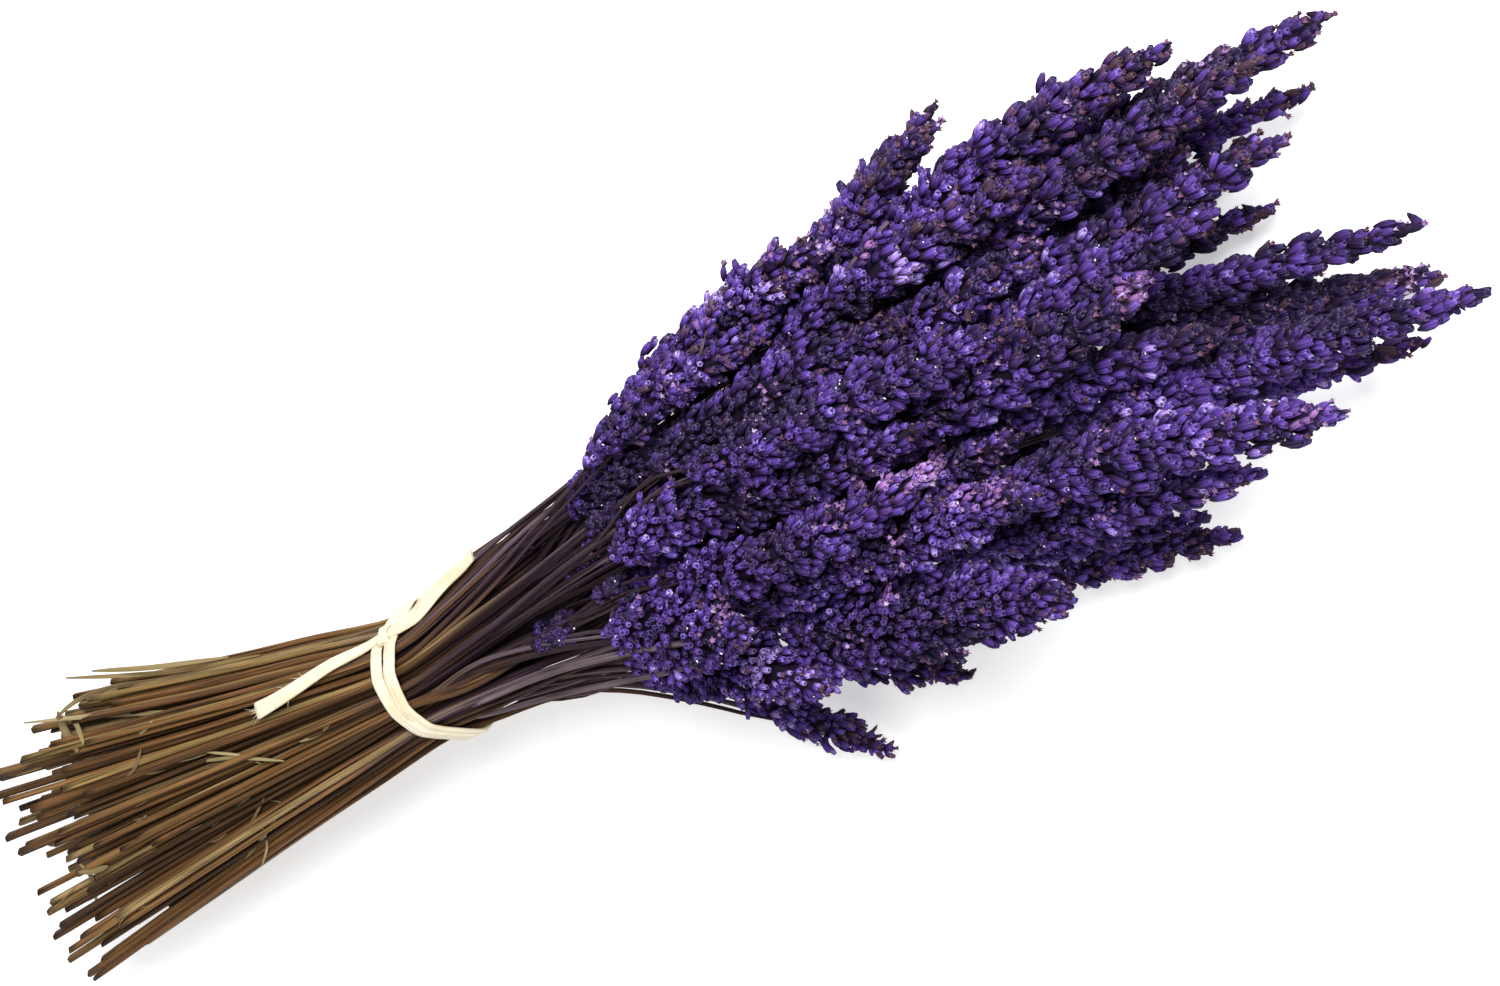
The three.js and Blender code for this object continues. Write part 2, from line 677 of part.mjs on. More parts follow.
// A place for the middle of the strip over the wrapped stems, and the way it faces there.
function onBundle(strands, angle, x, lift) {
  const half = BAND_WIDTH / 2;
  const wrapped = (at) => {
    const reach = Math.max(...[-half, 0, half].map((d) => bundleReach(strands, at, x + d)));
    return new THREE.Vector3(x, reach * Math.cos(at), reach * Math.sin(at));
  };
  const tilt = half / TIE_HALF_WIDTH;
  const round = wrapped(angle + tilt).sub(wrapped(angle - tilt)).normalize();
  const outward = new THREE.Vector3(0, round.z, -round.y);
  const height = TIE_CLEARANCE + BAND_THICKNESS / 2 + lift;
  return { point: wrapped(angle).addScaledVector(outward, height), outward };
}

function bandX(angle) {
  return BAND_MIDDLE_X - BAND_SLANT * Math.sin(angle);
}

// One turn of the strip round the bundle.
function turnGeometry(strands, side) {
  const path = [];
  for (let k = 0; k < TURN_STEPS; k += 1) {
    const angle = (2 * Math.PI * k) / TURN_STEPS;
    const near = smooth((1 + Math.cos(angle - KNOT_ANGLE)) / 2);
    const spread = mix(TURN_MERGED, TURN_SPREAD, near);
    path.push(onBundle(strands, angle, bandX(angle) + side * spread, 0));
  }
  return stripGeometry(path, true, () => BAND_WIDTH);
}

// A loose end of the strip, from the knot along the bundle.
function tailGeometry(strands, endX, endAngle) {
  const path = [];
  const startX = bandX(KNOT_ANGLE);
  const [knotLift, endLift] = TAIL_LIFT;
  for (let k = 0; k <= TAIL_STEPS; k += 1) {
    const t = k / TAIL_STEPS;
    const lift = knotLift * Math.pow(1 - t, 3) + endLift * t * t;
    const angle = mix(KNOT_ANGLE, endAngle, smooth(t));
    path.push(onBundle(strands, angle, mix(startX, endX, t), lift));
  }
  return stripGeometry(path, false, (t) => BAND_WIDTH * (1 + TAIL_FLARE * t * t));
}

function knotGeometry(strands) {
  const [along, around, out] = KNOT_SIZE;
  const lift = (out - BAND_THICKNESS) / 2;
  const { point: place } = onBundle(strands, KNOT_ANGLE, bandX(KNOT_ANGLE), lift);
  const rings = [];
  for (let level = 0; level < KNOT_LEVELS; level += 1) {
    const tilt = mix(-1, 1, (level + 0.5) / KNOT_LEVELS) * (Math.PI / 2);
    const ring = [];
    for (let k = 0; k < KNOT_SIDES; k += 1) {
      const angle = (2 * Math.PI * k) / KNOT_SIDES;
      const point = new THREE.Vector3(
        (along / 2) * Math.sin(tilt),
        (around / 2) * Math.cos(tilt) * Math.cos(angle),
        (out / 2) * Math.cos(tilt) * Math.sin(angle),
      );
      point.applyAxisAngle(new THREE.Vector3(1, 0, 0), KNOT_ANGLE - Math.PI / 2);
      ring.push(point.add(place));
    }
    rings.push(ring);
  }
  return closedTube(rings);
}

function tieGeometry(strands) {
  const pieces = [
    turnGeometry(strands, -1),
    turnGeometry(strands, 1),
    tailGeometry(strands, CUT_TAIL_X, CUT_TAIL_ANGLE),
    tailGeometry(strands, FLOWER_TAIL_X, FLOWER_TAIL_ANGLE),
    knotGeometry(strands),
  ];
  return toGeometry(pieces.map(toSolid).reduce((whole, piece) => whole.add(piece)));
}

// ---- The bunch ----

// Lets the lowest stem near the middle reach the surface with its cut end, a face downwards.
function carryCutEnd(strands) {
  const depth = (strand) => strand.place.z + 0.5 * Math.abs(strand.place.y);
  const lowest = strands.reduce((a, b) => (depth(b) < depth(a) ? b : a));
  lowest.endCarries = true;
  lowest.cut = [FAN_SHIFT, SURFACE_Z + STEM_RADIUS_CUT * Math.SQRT1_2 - CUT_END_DEPTH];
  lowest.cutX = CUT_END_X;
  lowest.turn = Math.PI / 4;
}

function planStrands(random) {
  const strands = [...SHOWN_SPIKES.map(shownStrand), ...CARRYING_SPIKES.map(carryingStrand)];
  for (let k = 0; k < FILL_COUNT; k += 1) {
    strands.push(fillStrand(k, random));
  }
  assignTiePlaces(strands);
  strands.forEach((strand, i) => {
    const jitter = () => FAN_JITTER * (random() - 0.5);
    const wide = clamp(strand.place.y / TIE_HALF_WIDTH + jitter(), -FAN_LIMIT, FAN_LIMIT);
    const high = clamp(strand.place.z / TIE_HALF_HEIGHT + jitter(), -FAN_LIMIT, FAN_LIMIT);
    strand.cut = [wide * FAN_HALF_WIDTH + FAN_SHIFT, high * FAN_HALF_HEIGHT - FAN_DROP];
    const edge = clamp(2 * wide - 1, 0, 1);
    const otherEdge = clamp(-2 * wide - 1, 0, 1);
    const ragged = CUT_END_RAGGED * Math.pow(random(), RAGGED_CURVE);
    strand.cutX = CUT_END_X + ragged + CUT_END_SHORT * edge - CUT_END_LONG * otherEdge;
    strand.turn ??= random() * Math.PI;
    strand.slant = CUT_SLANT * random();
    const stout = strand.width >= WHORL_FROM_WIDTH && strand.baseX < WHORL_BEFORE_X;
    strand.whorl = stout && i % 2 === 0;
  });
  carryCutEnd(strands);
  return strands;
}

function makeBunch() {
  const random = makeRandom(SEED);
  const strands = planStrands(random);
  layStrands(strands);
  const bunch = new THREE.Group();
  const lavender = new THREE.MeshStandardMaterial({
    color: LAVENDER_COLOUR,
    roughness: 0.85,
    metalness: 0,
  });
  const cotton = new THREE.MeshStandardMaterial({ color: TIE_COLOUR, roughness: 0.9, metalness: 0 });
  strands.forEach((strand, i) => {
    const mesh = new THREE.Mesh(floweringStem(strand, random), lavender);
    mesh.name = `flowering_stem_${String(i + 1).padStart(2, '0')}`;
    bunch.add(mesh);
  });
  const tie = new THREE.Mesh(tieGeometry(strands), cotton);
  tie.name = 'tie';
  bunch.add(tie);
  return bunch;
}

// The origin is the middle of the bunch's box, at the surface that it lies on.
const bunch = makeBunch();
const box = new THREE.Box3().setFromObject(bunch);
const middle = box.getCenter(new THREE.Vector3());
bunch.position.set(-middle.x, -middle.y, -box.min.z);
const model = new THREE.Group();
model.add(bunch);

export default model;
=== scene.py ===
"""A bunch of dried lavender: calyxes, stems, tie and dry scraps, dressed over its solids.

Metres. +X runs from the cut ends to the flower tips, +Z is up and the bunch lies on z = 0.
"""

import logging
import math
from collections.abc import Callable, Iterable
from dataclasses import dataclass, field, replace
from enum import Enum
from functools import partial

import bmesh
import bpy
import numpy as np
from mathutils import Matrix, Vector


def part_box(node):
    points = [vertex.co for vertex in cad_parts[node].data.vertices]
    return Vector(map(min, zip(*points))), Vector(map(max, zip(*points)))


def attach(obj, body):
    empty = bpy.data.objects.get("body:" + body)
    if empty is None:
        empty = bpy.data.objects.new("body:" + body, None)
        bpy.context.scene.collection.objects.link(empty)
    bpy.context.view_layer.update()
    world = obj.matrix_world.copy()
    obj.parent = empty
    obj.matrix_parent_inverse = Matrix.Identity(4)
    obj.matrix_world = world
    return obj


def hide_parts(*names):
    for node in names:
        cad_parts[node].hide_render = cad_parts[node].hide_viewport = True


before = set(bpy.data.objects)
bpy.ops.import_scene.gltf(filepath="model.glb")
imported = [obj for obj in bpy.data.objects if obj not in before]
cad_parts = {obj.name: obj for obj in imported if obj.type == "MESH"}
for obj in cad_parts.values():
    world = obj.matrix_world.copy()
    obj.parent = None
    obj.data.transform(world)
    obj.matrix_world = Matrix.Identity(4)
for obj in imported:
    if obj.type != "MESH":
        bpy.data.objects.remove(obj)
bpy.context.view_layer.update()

LOG = logging.getLogger("lavender")
SEED = 11
BODY = "root"
MM = 0.001
TURN = 2 * math.pi

Colour = tuple[float, float, float]


# ---- Shader arithmetic ----


class Value:
    """An output of a material's node, which takes part in arithmetic."""

    def __init__(self, graph: "Graph", socket: bpy.types.NodeSocket) -> None:
        """Keeps a material's output socket."""
        self.graph = graph
        self.socket = socket

    def maths(self, operation: str, *others: "Value | float", swapped: bool = False) -> "Value":
        """Adds a Math node for this value and others, which come first where they are swapped."""
        operands = [*others, self] if swapped else [self, *others]
        return self.graph.node("ShaderNodeMath", {"operation": operation}, dict(enumerate(operands)))

    def __add__(self, other: "Value | float") -> "Value":
        """Adds."""
        return self.maths("ADD", other)

    __radd__ = __add__

    def __sub__(self, other: "Value | float") -> "Value":
        """Subtracts."""
        return self.maths("SUBTRACT", other)

    def __rsub__(self, other: float) -> "Value":
        """Subtracts from a number."""
        return self.maths("SUBTRACT", other, swapped=True)

    def __mul__(self, other: "Value | float") -> "Value":
        """Multiplies."""
        return self.maths("MULTIPLY", other)

    __rmul__ = __mul__

    def __truediv__(self, other: "Value | float") -> "Value":
        """Divides."""
        return self.maths("DIVIDE", other)

    def clamped(self) -> "Value":
        """Limits the value to 0 and 1."""
        return self.maths("MINIMUM", 1.0).maths("MAXIMUM", 0.0)

    def ramp(self, start: float, end: float) -> "Value":
        """Turns the value into a share that climbs smoothly from 0 at the start to 1 at the end."""
        share = ((self - start) / (end - start)).clamped()
        return share * share * (3.0 - 2.0 * share)


@dataclass
class Graph:
    """A material and the nodes behind its shader."""

    name: str

    def __post_init__(self) -> None:
        """Makes the material."""
        self.material = bpy.data.materials.new(self.name)
        self.material.use_nodes = True
        self.tree = self.material.node_tree
        self.shader = self.tree.nodes["Principled BSDF"]

    def feed(self, socket: bpy.types.NodeSocket, value: "Value | float | tuple") -> None:
        """Links a value to a socket, or sets the socket to a number or colour.

        Args:
            socket: The input socket.
            value: What it gets.
        """
        if isinstance(value, Value):
            self.tree.links.new(value.socket, socket)
        elif socket.type == "RGBA":
            socket.default_value = (*value, 1.0)
        else:
            socket.default_value = value

    def node(self, kind: str, settings: dict, inputs: dict, output: int | str = 0) -> Value:
        """Adds any node.

        Args:
            kind: The node's type.
            settings: Its settings.
            inputs: The values or links of its input sockets, by name or number.
            output: The output that is wanted.

        Returns:
            The wanted output.
        """
        made = self.tree.nodes.new(kind)
        for name, value in settings.items():
            setattr(made, name, value)
        for name, value in inputs.items():
            self.feed(made.inputs[name], value)
        return Value(self, made.outputs[output])

    def set(self, **inputs: "Value | float | Colour") -> None:
        """Sets the shader's sockets, with _ for a space in their names."""
        for name, value in inputs.items():
            self.feed(self.shader.inputs[name.replace("_", " ")], value)

    def mix(self, share: "Value | float", a: "Value | Colour", b: "Value | Colour") -> Value:
        """Blends a share of the second colour into the first."""
        return self.node("ShaderNodeMix", {"data_type": "RGBA"}, {0: share, 6: a, 7: b}, output=2)

    def shade(self, colour: Value, by: "Value | float") -> Value:
        """Multiplies a colour by a value."""
        return self.node("ShaderNodeVectorMath", {"operation": "SCALE"}, {0: colour, "Scale": by})

    def colours(self, share: Value, *stops: tuple[float, Colour]) -> Value:
        """Reads a colour ramp.

        Args:
            share: Where on the ramp.
            stops: Places from 0 to 1 with their colours.

        Returns:
            The colour there.
        """
        read = self.node("ShaderNodeValToRGB", {}, {0: share})
        elements = read.socket.node.color_ramp.elements
        while len(elements) < len(stops):
            elements.new(1.0)
        for element, (place, colour) in zip(elements, stops):
            element.position = place
            element.color = (*colour, 1.0)
        return read

    def split(self, kind: str, value: Value) -> list[Value]:
        """Splits a colour or a vector into its three channels."""
        outputs = self.node(kind, {}, {0: value}).socket.node.outputs
        return [Value(self, outputs[k]) for k in range(3)]

    def stored(self, name: str, output: str) -> Value:
        """Reads an attribute of the mesh."""
        return self.node("ShaderNodeAttribute", {"attribute_name": name}, {}, output)

    def place(self) -> Value:
        """Reads the place on the object."""
        return self.node("ShaderNodeTexCoord", {}, {}, "Object")

    def tint(self) -> list[Value]:
        """Reads the tone, how far along its blank a place is, and its mark."""
        return self.split("ShaderNodeSeparateColor", self.stored(TINT, "Color"))

    def straight(self) -> list[Value]:
        """Reads where a point lay before its shape was bent or placed, in metres."""
        return self.split("ShaderNodeSeparateXYZ", self.stored(STRAIGHT, "Vector"))

    def noise(self, place: Value, scale: float, detail: float) -> Value:
        """Makes noise from 0 to 1 with a number of cells in a metre."""
        inputs = {"Vector": place, "Scale": scale, "Detail": detail}
        return self.node("ShaderNodeTexNoise", {}, inputs)

    def grain(self, scale: float, detail: float, share: float) -> Value:
        """Makes noise that follows a bent shape, with fewer cells along it, as a share."""
        inputs = {"Vector": self.stored(STRAIGHT, "Vector"), "Scale": (1.0, 1.0, share)}
        return self.noise(self.node("ShaderNodeMapping", {}, inputs), scale, detail)

    def ribs(self, count: float) -> Value:
        """Makes a wave from 0 to 1 round a shape's axis."""
        x, y, _ = self.straight()
        return (x.maths("ARCTAN2", y) * count).maths("SINE") * 0.5 + 0.5

    def hollow(self, narrow: float, wide: float) -> Value:
        """Gives 1 inside the narrow radius round a shape's axis and 0 outside the wide one."""
        x, y, _ = self.straight()
        return (x * x + y * y).ramp(wide**2, narrow**2)

    def bump(self, height: Value, depth: float, strength: float) -> None:
        """Gives the shader a bumpy normal, whose full height stands for a depth in metres."""
        inputs = {"Height": height, "Distance": depth, "Strength": strength}
        self.feed(self.shader.inputs["Normal"], self.node("ShaderNodeBump", {}, inputs))


# ---- Finishes ----

TINT = "tint"  # red: the tone, green: how far along a copied blank, blue: a mark of the finish
STRAIGHT = "straight"  # where a point lay before its shape was bent or placed, in metres


@dataclass(frozen=True)
class StemFinish:
    """A dry stem, brown near its cut end and stained violet near its flowers. Its pith is marked."""

    turn_x: float
    turn_length: float = 50 * MM
    turn_scatter: float = 55 * MM
    umber: Colour = (0.064, 0.031, 0.014)
    brown: Colour = (0.19, 0.090, 0.032)
    amber: Colour = (0.29, 0.155, 0.055)
    olive: Colour = (0.27, 0.178, 0.060)
    tan: Colour = (0.46, 0.31, 0.145)
    dark: Colour = (0.014, 0.008, 0.005)
    plum: Colour = (0.038, 0.019, 0.030)
    violet: Colour = (0.054, 0.029, 0.043)
    lilac: Colour = (0.18, 0.130, 0.155)
    pith: Colour = (0.55, 0.42, 0.24)

    def make(self) -> bpy.types.Material:
        """Makes the material.

        Returns:
            The material.
        """
        g = Graph("dry_stem")
        tone, _, cut = g.tint()
        streaks = g.grain(1400.0, 4.0, 0.03)
        patches = g.grain(110.0, 3.0, 0.4)
        x = g.split("ShaderNodeSeparateXYZ", g.place())[0]
        own = (tone * 7.3).maths("FRACT")
        shifted = x + self.turn_scatter * (own - 0.5) + 0.05 * (patches - 0.5)
        turned = shifted.ramp(self.turn_x - self.turn_length / 2, self.turn_x + self.turn_length / 2)
        shade = (tone + 0.35 * (patches - 0.5)).clamped()
        browns = (0.0, self.umber), (0.35, self.brown), (0.6, self.amber), (0.82, self.olive), (1.0, self.tan)
        purples = (0.0, self.plum), (0.65, self.violet), (1.0, self.lilac)
        colour = g.mix(turned, g.colours(shade, *browns), g.colours(shade, *purples))
        colour = g.mix(streaks.ramp(0.5, 0.3) * 0.85, colour, self.dark)
        colour = g.shade(colour, 0.7 + 0.3 * patches + 0.8 * streaks.ramp(0.52, 0.75))
        colour = g.mix(cut * 0.8, colour, self.pith)
        g.set(Base_Color=colour, Roughness=0.55 + 0.3 * streaks, Specular_IOR_Level=0.2)
        g.bump(streaks + 0.3 * patches, 0.4 * MM, 0.8)
        return g.material


@dataclass(frozen=True)
class CalyxFinish:
    """The ribbed and felted violet calyx of a lavender flower, pink by a mark to 0.7, withered above, with
    painted shade at its base and in its mouth and a painted sheen on its rim.
    """

    base_shade_black: Colour = (0.016, 0.008, 0.022)
    deep: Colour = (0.020, 0.010, 0.048)
    violet: Colour = (0.074, 0.031, 0.21)
    blue: Colour = (0.120, 0.058, 0.37)
    lilac: Colour = (0.36, 0.23, 0.68)
    maroon: Colour = (0.080, 0.034, 0.085)
    brown: Colour = (0.062, 0.031, 0.036)
    pink: Colour = (0.40, 0.18, 0.46)
    felt_and_sheen: Colour = (0.68, 0.56, 0.96)
    # mouth: painted shade inside the calyx's hollow mouth.
    mouth: Colour = (0.016, 0.008, 0.035)

    def make(self) -> bpy.types.Material:
        """Makes the material.

        Returns:
            The material.
        """
        g = Graph("violet_calyx")
        tone, along, withered = g.tint()
        hairs = g.noise(g.place(), 2600.0, 2.0)
        ribs = g.ribs(6.0)
        colour = g.colours(tone, (0.0, self.deep), (0.4, self.violet), (0.8, self.blue), (1.0, self.lilac))
        colour = g.mix(withered.ramp(0.3, 0.7) * withered.ramp(0.8, 0.75) * 0.85, colour, self.pink)
        # Painted shade: each calyx darkens towards black at its base, and the core with it, as shade deep in
        # the spike.
        colour = g.mix(along.ramp(0.75, 0.2) * 0.94, colour, self.base_shade_black)
        colour = g.mix(withered.ramp(0.8, 0.9) * along.ramp(0.3, 0.8), colour, self.maroon)
        colour = g.mix(withered.ramp(0.93, 0.99) * 0.8, colour, self.brown)
        inside = g.hollow(0.1 * MM, 0.36 * MM) * along.ramp(0.7, 0.76)
        # The pale felt on the rim is partly the calyx's real pale hairs and partly a painted sheen highlight,
        # stronger on paler calyxes.
        rim = along.ramp(0.72, 0.94) * (1 - inside)
        frost_and_sheen = 0.12 + 0.6 * tone.ramp(0.55, 0.95)
        colour = g.mix(rim * hairs.ramp(0.42, 0.62) * frost_and_sheen, colour, self.felt_and_sheen)
        colour = g.shade(colour, 0.5 + 0.55 * hairs + 0.45 * ribs)
        # Painted shade: the inside of the calyx's mouth is darkened as shade in the hollow.
        colour = g.mix(inside * 0.7, colour, self.mouth)
        g.set(Base_Color=colour, Roughness=0.75, Specular_IOR_Level=0.14)
        g.bump(hairs + ribs, 0.12 * MM, 0.7)
        return g.material


@dataclass(frozen=True)
class PetalFinish:
    """Dried petals that still cling to some calyxes, and bright crumbs that are partly painted glints."""

    rust: Colour = (0.086, 0.036, 0.054)
    pink: Colour = (0.20, 0.080, 0.165)
    mauve: Colour = (0.40, 0.21, 0.52)
    # pale: the crumbs' colour, partly pale dried petal and partly painted glint.
    pale: Colour = (0.93, 0.88, 0.98)

    def make(self) -> bpy.types.Material:
        """Makes the material.

        Returns:
            The material.
        """
        g = Graph("dried_petal")
        tone = g.tint()[0]
        veins = g.grain(1500.0, 3.0, 0.4)
        colour = g.colours(tone, (0.0, self.rust), (0.35, self.pink), (0.75, self.mauve), (1.0, self.pale))
        colour = g.mix(veins.ramp(0.5, 0.3) * 0.5, colour, self.rust)
        g.set(Base_Color=colour, Roughness=0.6, Specular_IOR_Level=0.4)
        g.bump(veins, 0.2 * MM, 0.6)
        return g.material


@dataclass(frozen=True)
class CottonFinish:
    """The cream strip of the tie, with fibres that run along it. Its edges are marked for painted shade."""

    cream: Colour = (0.84, 0.75, 0.54)
    warm_tone_and_edge_shade: Colour = (0.70, 0.55, 0.30)
    light: Colour = (0.90, 0.84, 0.66)

    def make(self) -> bpy.types.Material:
        """Makes the material.

        Returns:
            The material.
        """
        g = Graph("cream_cotton")
        edge_shade = g.tint()[2]
        fibres = g.grain(2600.0, 4.0, 0.06)
        cloudy = g.noise(g.place(), 140.0, 2.0)
        colour = g.mix(fibres.ramp(0.35, 0.68), self.cream, self.light)
        # Warm cloudy patches of the cotton, and painted shade along the strip's edges.
        colour = g.mix(cloudy.ramp(0.5, 0.75) * 0.55 + 0.3 * edge_shade, colour, self.warm_tone_and_edge_shade)
        g.set(Base_Color=colour, Roughness=0.85, Specular_IOR_Level=0.25)
        g.set(Sheen_Weight=0.25, Sheen_Roughness=0.5)
        g.bump(fibres, 0.35 * MM, 0.9)
        return g.material


@dataclass(frozen=True)
class ChaffFinish:
    """Dry leaf shreds, twigs and hairs."""

    straw: Colour = (0.46, 0.38, 0.20)
    olive: Colour = (0.26, 0.19, 0.08)
    umber: Colour = (0.15, 0.092, 0.05)

    def make(self) -> bpy.types.Material:
        """Makes the material.

        Returns:
            The material.
        """
        g = Graph("dry_chaff")
        grain = g.grain(1800.0, 4.0, 0.08)
        colour = g.colours(g.tint()[0], (0.0, self.umber), (0.5, self.olive), (1.0, self.straw))
        colour = g.shade(colour, 0.6 + 0.8 * grain)
        g.set(Base_Color=colour, Roughness=0.7, Specular_IOR_Level=0.3)
        g.bump(grain, 0.3 * MM, 0.8)
        return g.material


class Finish(Enum):
    """The finishes, each with the record's slot that it belongs to."""

    STEM = "dried_lavender", 0
    CALYX = "dried_lavender", 1
    PETAL = "dried_lavender", 2
    COTTON = "tie_cotton", 3
    CHAFF = "dried_lavender", 4

    @property
    def slot(self) -> str:
        """The record's material slot."""
        return self.value[0]


def make_palette(turn_x: float) -> dict[Finish, bpy.types.Material]:
    """Makes every material once. The stems turn violet about a place along X."""
    finishes = StemFinish(turn_x), CalyxFinish(), PetalFinish(), CottonFinish(), ChaffFinish()
    return {key: finish.make() for key, finish in zip(Finish, finishes)}


# ---- Shapes that are modelled once ----


class Bench:
    """Edit mode steps on one object, as by hand."""

    def __init__(self, add: Callable[..., object], **sizes: object) -> None:
        """Adds a primitive and opens it in edit mode.

        Args:
            add: The operator that adds the primitive.
            sizes: Its sizes and place.
        """
        bpy.ops.object.select_all(action="DESELECT")
        add(**sizes)
        self.made = bpy.context.object
        bpy.ops.object.mode_set(mode="EDIT")

    def pick(self, test: Callable[[Vector], bool]) -> None:
        """Selects the points that pass a test, with the edges and faces between them.

        Args:
            test: Whether a point at a place is picked.
        """
        bpy.ops.mesh.select_mode(type="VERT")
        bpy.ops.mesh.select_all(action="DESELECT")
        shape = bmesh.from_edit_mesh(self.made.data)
        for vertex in shape.verts:
            vertex.select = test(vertex.co)
        shape.select_flush(True)
        bmesh.update_edit_mesh(self.made.data)

    def scale(self, test: Callable[[Vector], bool], *factors: float) -> None:
        """Scales the picked points about the middle of the blank's axis."""
        self.pick(test)
        bpy.ops.transform.resize(value=factors, center_override=(0.0, 0.0, 0.5), orient_type="GLOBAL")

    def lift(self, test: Callable[[Vector], bool], *by: float) -> None:
        """Moves the picked points."""
        self.pick(test)
        bpy.ops.transform.translate(value=by)

    def cut(self, across: Vector, places: Iterable[float]) -> None:
        """Cuts the whole shape by planes.

        Args:
            across: The way that the planes face.
            places: How far along it they lie.
        """
        bpy.ops.mesh.select_mode(type="VERT")
        for place in places:
            bpy.ops.mesh.select_all(action="SELECT")
            bpy.ops.mesh.bisect(plane_co=across * place, plane_no=across)

    def close(self) -> "Blank":
        """Leaves edit mode and takes the shape off the bench."""
        bpy.ops.object.mode_set(mode="OBJECT")
        return Blank.taken_from(self.made)


@dataclass
class Blank:
    """A shape that is modelled once and then copied."""

    points: np.ndarray
    corners: np.ndarray
    sizes: np.ndarray
    layout: np.ndarray
    low_end: float = 0.004
    high_end: float = 0.999

    @classmethod
    def taken_from(cls, made: bpy.types.Object) -> "Blank":
        """Reads an object's mesh and removes the object.

        Args:
            made: The modelled object.

        Returns:
            Its shape.
        """
        mesh = made.data
        mesh.transform(made.matrix_world)
        points = np.empty(len(mesh.vertices) * 3)
        mesh.vertices.foreach_get("co", points)
        corners = np.empty(len(mesh.loops), np.int64)
        mesh.loops.foreach_get("vertex_index", corners)
        sizes = np.empty(len(mesh.polygons), np.int64)
        mesh.polygons.foreach_get("loop_total", sizes)
        layout = np.empty(len(mesh.loops) * 2)
        mesh.uv_layers.active.uv.foreach_get("vector", layout)
        bpy.data.objects.remove(made)
        bpy.data.meshes.remove(mesh)
        return cls(points.reshape(-1, 3), corners, sizes, layout.reshape(-1, 2))

    @property
    def along(self) -> np.ndarray:
        """How far along Z each point lies, from 0 to 1."""
        z = self.points[:, 2]
        return (z - z.min()) / np.ptp(z)

    @property
    def ends(self) -> np.ndarray:
        """Finds the faces that lie flat at either end along Z.

        Returns:
            Whether each face does.
        """
        z, starts = self.points[self.corners, 2], np.cumsum(self.sizes) - self.sizes
        low, high = np.minimum.reduceat(z, starts), np.maximum.reduceat(z, starts)
        return (high < self.low_end) | (low > self.high_end)

    def turned(self, angle: float) -> "Blank":
        """A copy that is turned round the Z axis."""
        c, s = math.cos(angle), math.sin(angle)
        return replace(self, points=self.points @ np.array([[c, s, 0], [-s, c, 0], [0, 0, 1]]))


def anywhere(_: Vector) -> bool:
    """Picks every point."""
    return True


def at_odd_corner(point: Vector, sides: int) -> bool:
    """Whether a point lies at an odd corner of a ring round Z."""
    return round(math.atan2(point.x, point.y) / (TURN / sides)) % 2 == 1


def make_calyx() -> Blank:
    """Models one calyx along +Z, 1 long: narrow at its foot, blunt and hollow at its mouth.

    Returns:
        The calyx.
    """
    sizes = {"segments": 5, "ring_count": 5, "radius": 0.5, "location": (0.0, 0.0, 0.5)}
    bench = Bench(bpy.ops.mesh.primitive_uv_sphere_add, **sizes)
    bench.scale(anywhere, 0.36, 0.36, 1.0)
    bench.scale(lambda p: p.z < -0.3, 0.7, 0.7, 1.0)
    bench.scale(lambda p: 0.1 < p.z < 0.2, 1.1, 1.1, 1.0)
    bench.scale(lambda p: p.z > 0.35, 1.15, 1.15, 1.0)
    bench.lift(lambda p: 0.35 < p.z < 0.45 and math.atan2(p.y, p.x) % 2.1 < 1.0, 0.0, 0.0, 0.05)
    bench.lift(lambda p: p.z > 0.49 and p.xy.length < 0.01, 0.0, 0.0, -0.22)
    return bench.close()


def make_petals() -> Blank:
    """Models a crumpled funnel of dried petals along +Z, with five curled lobes.

    Returns:
        The petals.
    """
    sizes = {"vertices": 10, "radius1": 0.07, "radius2": 0.42, "depth": 0.6, "location": (0.0, 0.0, 0.3)}
    bench = Bench(bpy.ops.mesh.primitive_cone_add, end_fill_type="TRIFAN", **sizes)

    def notch(p: Vector) -> bool:
        """Whether a point lies on the rim between two lobes."""
        return p.z > 0.25 and p.xy.length > 0.1 and at_odd_corner(p, 10)

    bench.lift(lambda p: p.z > 0.25 and p.xy.length < 0.01, 0.0, 0.0, -0.42)
    bench.scale(notch, 0.42, 0.42, 1.0)
    bench.lift(notch, 0.0, 0.0, -0.06)
    bench.lift(lambda p: p.z > 0.25 and p.x > 0.25, -0.12, 0.05, 0.25)
    bench.lift(lambda p: p.z > 0.25 and p.y < -0.25, 0.05, 0.16, 0.12)
    return bench.close()


def make_crumb() -> Blank:
    """Models a bright crumb, flat and pointed: partly a bit of dried petal, partly a painted glint.

    Returns:
        The crumb.
    """
    sizes = {"vertices": 5, "radius1": 0.45, "radius2": 0.12, "depth": 0.4, "location": (0.0, 0.0, 0.1)}
    bench = Bench(bpy.ops.mesh.primitive_cone_add, **sizes)
    bench.lift(lambda p: p.x > 0.2, 0.12, 0.0, 0.1)
    return bench.close()


def make_bract() -> Blank:
    """Models a small pointed scale along +Z, 1 long, that lies under a calyx.

    Returns:
        The bract.
    """
    sizes = {"segments": 6, "ring_count": 4, "radius": 0.5, "location": (0.0, 0.0, 0.5)}
    bench = Bench(bpy.ops.mesh.primitive_uv_sphere_add, **sizes)
    bench.scale(anywhere, 0.5, 0.14, 1.0)
    bench.lift(lambda p: abs(p.x) < 0.1 and -0.4 < p.z < 0.4, 0.0, 0.06, 0.0)
    return bench.close()


